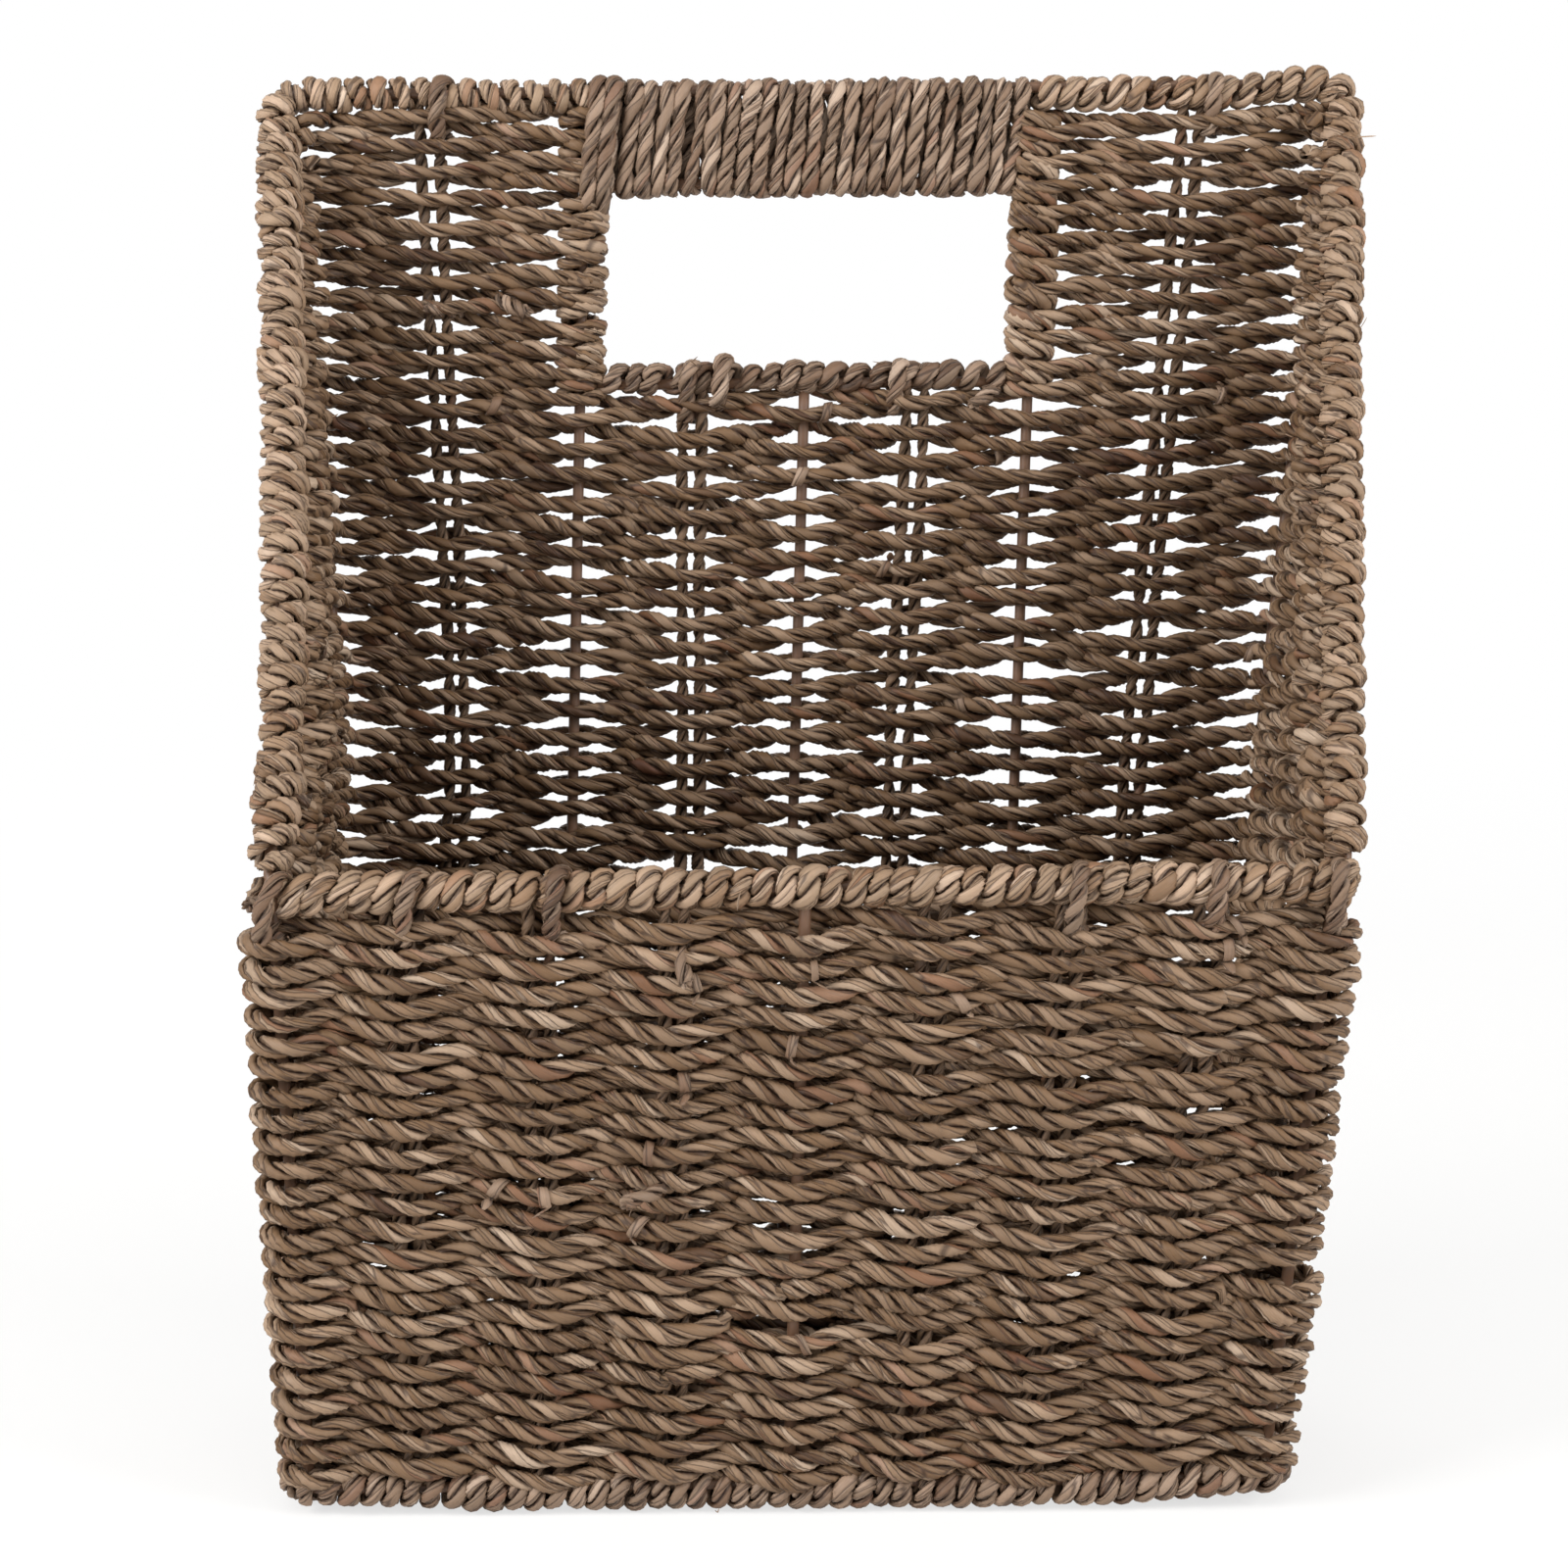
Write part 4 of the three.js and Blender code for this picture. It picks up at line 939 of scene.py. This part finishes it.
# A lap rises in front of the bars, goes over the rail, falls behind and comes back under the lower bar.
over_angle = np.clip((at - tall) / handle_reach, 0, math.pi)
under_angle = np.clip((at - 2 * tall - bend) / handle_reach, 0, math.pi)
rising, falling = at < tall + bend, (at >= tall + bend) & (at < 2 * tall + bend)
turn_y = handle_reach * np.where(rising, -np.cos(over_angle), np.cos(under_angle))
turn_z = np.where(rising, low_z + np.minimum(at, tall) + handle_reach * np.sin(over_angle),
                  np.where(falling, top_z - (at - tall - bend), low_z - handle_reach * np.sin(under_angle)))
lean = handle_lean * (turn_z - (top_z + low_z) / 2) / tall * np.where(turn_y < 0, 1, -1)
turn_x = -handle_half + 2 * handle_half * laps / handle_turns + lean


def out_of_bars(path, low, high):
    """The direction of each point of a turn away from the plane between two bars."""
    inside = np.column_stack([path[:, 0], np.full(len(path), back_y), np.clip(path[:, 2], low, high)])
    return unit(path - inside)


path, run = even_steps(np.column_stack([turn_x, back_y + turn_y, turn_z]), winding_step)
path[:, 0] += uneven(run, *uneven_turn_x)
path[:, 1] += uneven(run, *uneven_turn_y)
out = out_of_bars(path, low_z, top_z)
from_bar = np.minimum(np.abs(path[:, 2] - low_z), np.abs(path[:, 2] - top_z))
wide = np.where(path[:, 1] < back_y, front_wide, back_wide) + bar_widening * ease(1 - from_bar / bar_reach)
ropes = Ropes()
ropes.lay(path, out, handle_thick * (1 + uneven(run, *uneven_turn_thick)), half_lay=8.6,
          flat=handle_flat, wide=wide, rough=1.6, pale=0.33)
wound_lines.append((path, out, np.full(len(path), handle_thick)))
for x in loop_places:
    loop = [(x - 2, back_y + 2, bar_z - 11), (x - 1.2, back_y - 5.6, bar_z - 5),
            (x - 0.6, back_y - 6.4, bar_z + 8), (x + 0.8, back_y - 6.2, top_z - 5),
            (x + 1.4, back_y - 4.4, top_z + 4), (x + 2, back_y + 4.4, top_z + 4),
            (x + 2, back_y + 6, top_z - 5), (x - 2, back_y + 6, bar_z - 4), (x - 2, back_y + 3, bar_z - 11)]
    path = even_steps(rounded(loop, loop_corner), winding_step)[0]
    ropes.lay(path, out_of_bars(path, bar_z, top_z), thick=5.2, half_lay=8.5, flat=handle_flat)
ropes.piece("handle_rope_winding", bound_leaf, "wound_rope", "handle_winding")


# Ropes tied over the rims
# Where a stake ends, its rope comes up behind the first row, over the wound rim and is tucked down again.
# The sill has two of these and one slack loop.
tie_corner = 4.5
tie_groups = [
    # name, nodes, depth and height of the wire, and the place, reach and leg of each tie
    ("front_rim_ties", ["front_rim_winding_left", "front_rim_winding_right"], rim_front, rim_z,
     [(x, 6.5, 13.5) for x in (-141.5, -104.7, -65.7, 72.3, 109.6, 141.5)]),
    ("top_rail_ties", ["top_rail_binding_left", "top_rail_binding_right"], back_y, top_z,
     [(x, 6.0, 12.5) for x in (-110.7, 121.0)]),
    ("sill_ties", ["sill_winding"], back_y, sill_z + sill_up,
     [(-34.4, 5.6, 13.0), (-24.8, 7.6, 8.5), (28.6, 5.4, 11.0)]),
]
for name, nodes, y, z, ties in tie_groups:
    ropes = Ropes()
    for x, reach, leg in ties:
        corners = [(x - 1.5, y - 1.5, z - leg), (x - 1.2, y - reach, z - reach * 0.8),
                   (x, y - reach, z + reach * 0.7), (x + 1, y + reach, z + reach * 0.7),
                   (x + 1.5, y + reach, z - reach * 0.8), (x + 1, y + 1.5, z - leg)]
        path = even_steps(rounded(corners, tie_corner), winding_step)[0]
        out = unit((path - [x, y, z]) * [0, 1, 1])
        ropes.lay(path, out, thick=4.9, half_lay=6.6, flat=0.8, wide=1.1)
    ropes.piece(name, bound_leaf, "wound_rope", *nodes)


# Leaf bands, rope ends and loose fibres
# New leaf is joined in by wrapping it round the rope, and the bands and cut ends of these joints show.
# Fine fibres stand off everywhere, because seagrass splits as it dries.
front_places = [(-28.9, 152.5), (2.2, 153.6), (-31.5, 124.1), (-3.1, 130.5), (-80.4, 94.4), (-67.7, 91.5),
                (114.8, 162.3), (112.4, 154.6), (-39.8, 105.0), (-42.8, 81.8)]
back_places = [(5.8, 304.6), (127.5, 352.1), (124.8, 375.2), (-0.6, 279.4), (25.3, 251.3), (-95.5, 335.2)]
random_bands, fibre_count, wound_fibre_every = 34, 150, 6
light_straw, dark_straw = 0.5, -0.5
crest_out, crest_slack, off_crest = 4, 3.5, 60
band_reach_share, band_from, band_to, band_slant, band_steps = 0.54, -2.1, 2.0, 1.3, 11
stub_length, stub_bend, stub_steps, stub_leaves, stub_spread, stub_scatter = 10, 4.5, 10, 8, 0.3, 0.9
tail_rise, tail_out, tail_sway, stub_leaf_root, stub_leaf_tip = 0.4, 0.8, 0.8, -2.5, (0.4, 1.6)
fibre_root_share, fibre_bend, lowest_fibre, fibre_length = 0.42, 1.6, 0.4, (2.5, 6.0)
fibre_along, fibre_out, fibre_stray = (0.3, 1), (0.15, 0.6), 0.4


def straw():
    """The random tone of one leaf."""
    return rng.uniform(dark_straw, light_straw)


def crest_near(x, z, wall_y):
    """The row and the step along it nearest a place where a row bulges to the front of a wall."""
    misses = []
    for path, out, thick in row_lines:
        miss = np.hypot(path[:, 0] - x, path[:, 2] - z)
        miss = miss + np.where(np.abs(path[:, 1] - wall_y + crest_out) < crest_slack, 0, off_crest)
        misses.append(miss[2:-2])
    nearest = min(range(len(misses)), key=lambda i: misses[i].min())
    return row_lines[nearest], int(misses[nearest].argmin()) + 2


def leaf_band(ropes, line, i, facing, tail):
    """A leaf wrapped round the rope on the side that faces out, with a loose tail."""
    path, out, thick = line
    tangent = unit(path[i + 1] - path[i - 1])
    face = unit(facing - tangent * np.dot(facing, tangent))
    angle = np.linspace(band_from, band_to, band_steps)[:, None]
    radial = np.cos(angle) * face + np.sin(angle) * np.cross(tangent, face)
    slant = tangent * angle * rng.uniform(-band_slant, band_slant)
    band = path[i] + radial * float(thick[i]) * band_reach_share + slant
    if tail:
        away = radial[-1] * tail_rise + face * tail_out + tangent * rng.uniform(-tail_sway, tail_sway)
        band = np.concatenate([band[:-2], band[-3] + unit(away) * np.linspace(0.2, 1, 4)[1:, None] * tail])
        radial = np.concatenate([radial[:-2], np.tile(radial[-3], (3, 1))])
    ropes.leaf(band, radial, wide=rng.uniform(2.2, 3.8), thick=0.45, tone=straw())


def rope_end(ropes, place, way, face):
    """A cut end of rope that comes out of the weave, with its leaves fanned open."""
    place, way, face = np.array(place), unit(np.array(way)), np.array(face)
    back = np.linspace(1, 0, stub_steps)[:, None]
    stub = place - way * stub_length * back - face * stub_bend * back ** 2
    ropes.lay(stub, face, thick=4.6, half_lay=6.2, rough=1.3)
    for number in range(stub_leaves):
        spread = unit(way + stub_spread * rng.uniform(-1, 1, 3))
        reach = np.linspace(stub_leaf_root, rng.uniform(*stub_leaf_tip), 6)[:, None]
        ropes.leaf(place + spread * reach + rng.uniform(-1, 1, 3) * stub_scatter, face,
                   wide=rng.uniform(1.0, 2.2), thick=0.5, tone=straw())


ropes = Ropes()
for places, wall_y in ((front_places, None), (back_places, back_y)):
    for x, z in places:
        line, i = crest_near(x, z, float(front_line(z)) if wall_y is None else wall_y)
        leaf_band(ropes, line, i, np.array([0.0, -1, 0]), rng.choice([0.0, 3.5, 5.0]))
for number in range(random_bands):
    line = row_lines[rng.integers(len(row_lines))]
    i = int(rng.integers(4, len(line[0]) - 4))
    leaf_band(ropes, line, i, line[1][i] * rng.choice([-1, 1]), rng.choice([0.0, 2.5, 4.5]))
ropes.piece("leaf_bands_round_rows", bound_leaf, "woven_rope",
            "front_weave", "back_weave", "left_side_weave", "right_side_weave")

ropes = Ropes()
towards_front, towards_left, towards_right = (0, -1, 0), (-1, 0, 0), (1, 0, 0)
for face, place, way in [
        (towards_front, (-115, back_y - 6, 333.6), (-1, -0.2, 0.05)),
        (towards_front, (-84, back_y - 7, 332.4), (1, -0.2, -0.5)),
        (towards_front, (50.6, back_y - 6.5, 303.5), (-0.8, -0.2, -0.6)),
        (towards_front, (-31, rim_front - 8, 151), (0.3, -0.4, -1)),
        (towards_front, (-46, -75, 92), (-1, -0.3, -0.2)),
        (towards_left, (-rim_half - 3.0, rim_front + 1, rim_z - 3), (-1, -0.6, 0)),
        (towards_left, (-rim_half - 7.0, rim_front + 14, rim_z + 25), (-1, -0.1, 0.2)),
        (towards_right, (top_half + 2.5, back_y - 24, top_z - 40), (1, 0, 0.2)),
        (towards_right, (rim_half + 9.5, rim_front + 60, rim_z + 96), (1, -0.2, 0))]:
    rope_end(ropes, place, way, face)
ropes.piece("cut_rope_ends", bound_leaf, "wound_rope", "back_weave", "front_weave")

ropes = Ropes()
for number in range(fibre_count):
    wound = number % wound_fibre_every == 0
    lines = wound_lines if wound else row_lines
    path, out, thick = lines[rng.integers(len(lines))]
    i = int(rng.integers(3, len(path) - 3))
    along = unit(path[i + 1] - path[i - 1]) * rng.choice([-1, 1])
    face = out[i] * (1 if wound or rng.random() < 0.5 else -1)
    way = along * rng.uniform(*fibre_along) + face * rng.uniform(*fibre_out)
    way = unit(way + rng.uniform(-fibre_stray, fibre_stray, 3))
    reach = np.linspace(0, 1, 7)[:, None]
    length, bend = rng.uniform(*fibre_length), rng.uniform(-1, 1, 3) * fibre_bend
    root = path[i] + face * float(thick[i]) * fibre_root_share
    hair = root + way * reach * length + bend * reach ** 2
    hair[:, 2] = np.maximum(hair[:, 2], lowest_fibre)
    ropes.leaf(hair, face, wide=rng.uniform(0.22, 0.5), thick=0.22, tone=straw())
ropes.piece("loose_fibres", wound_leaf, "woven_rope", "front_weave", "back_weave")
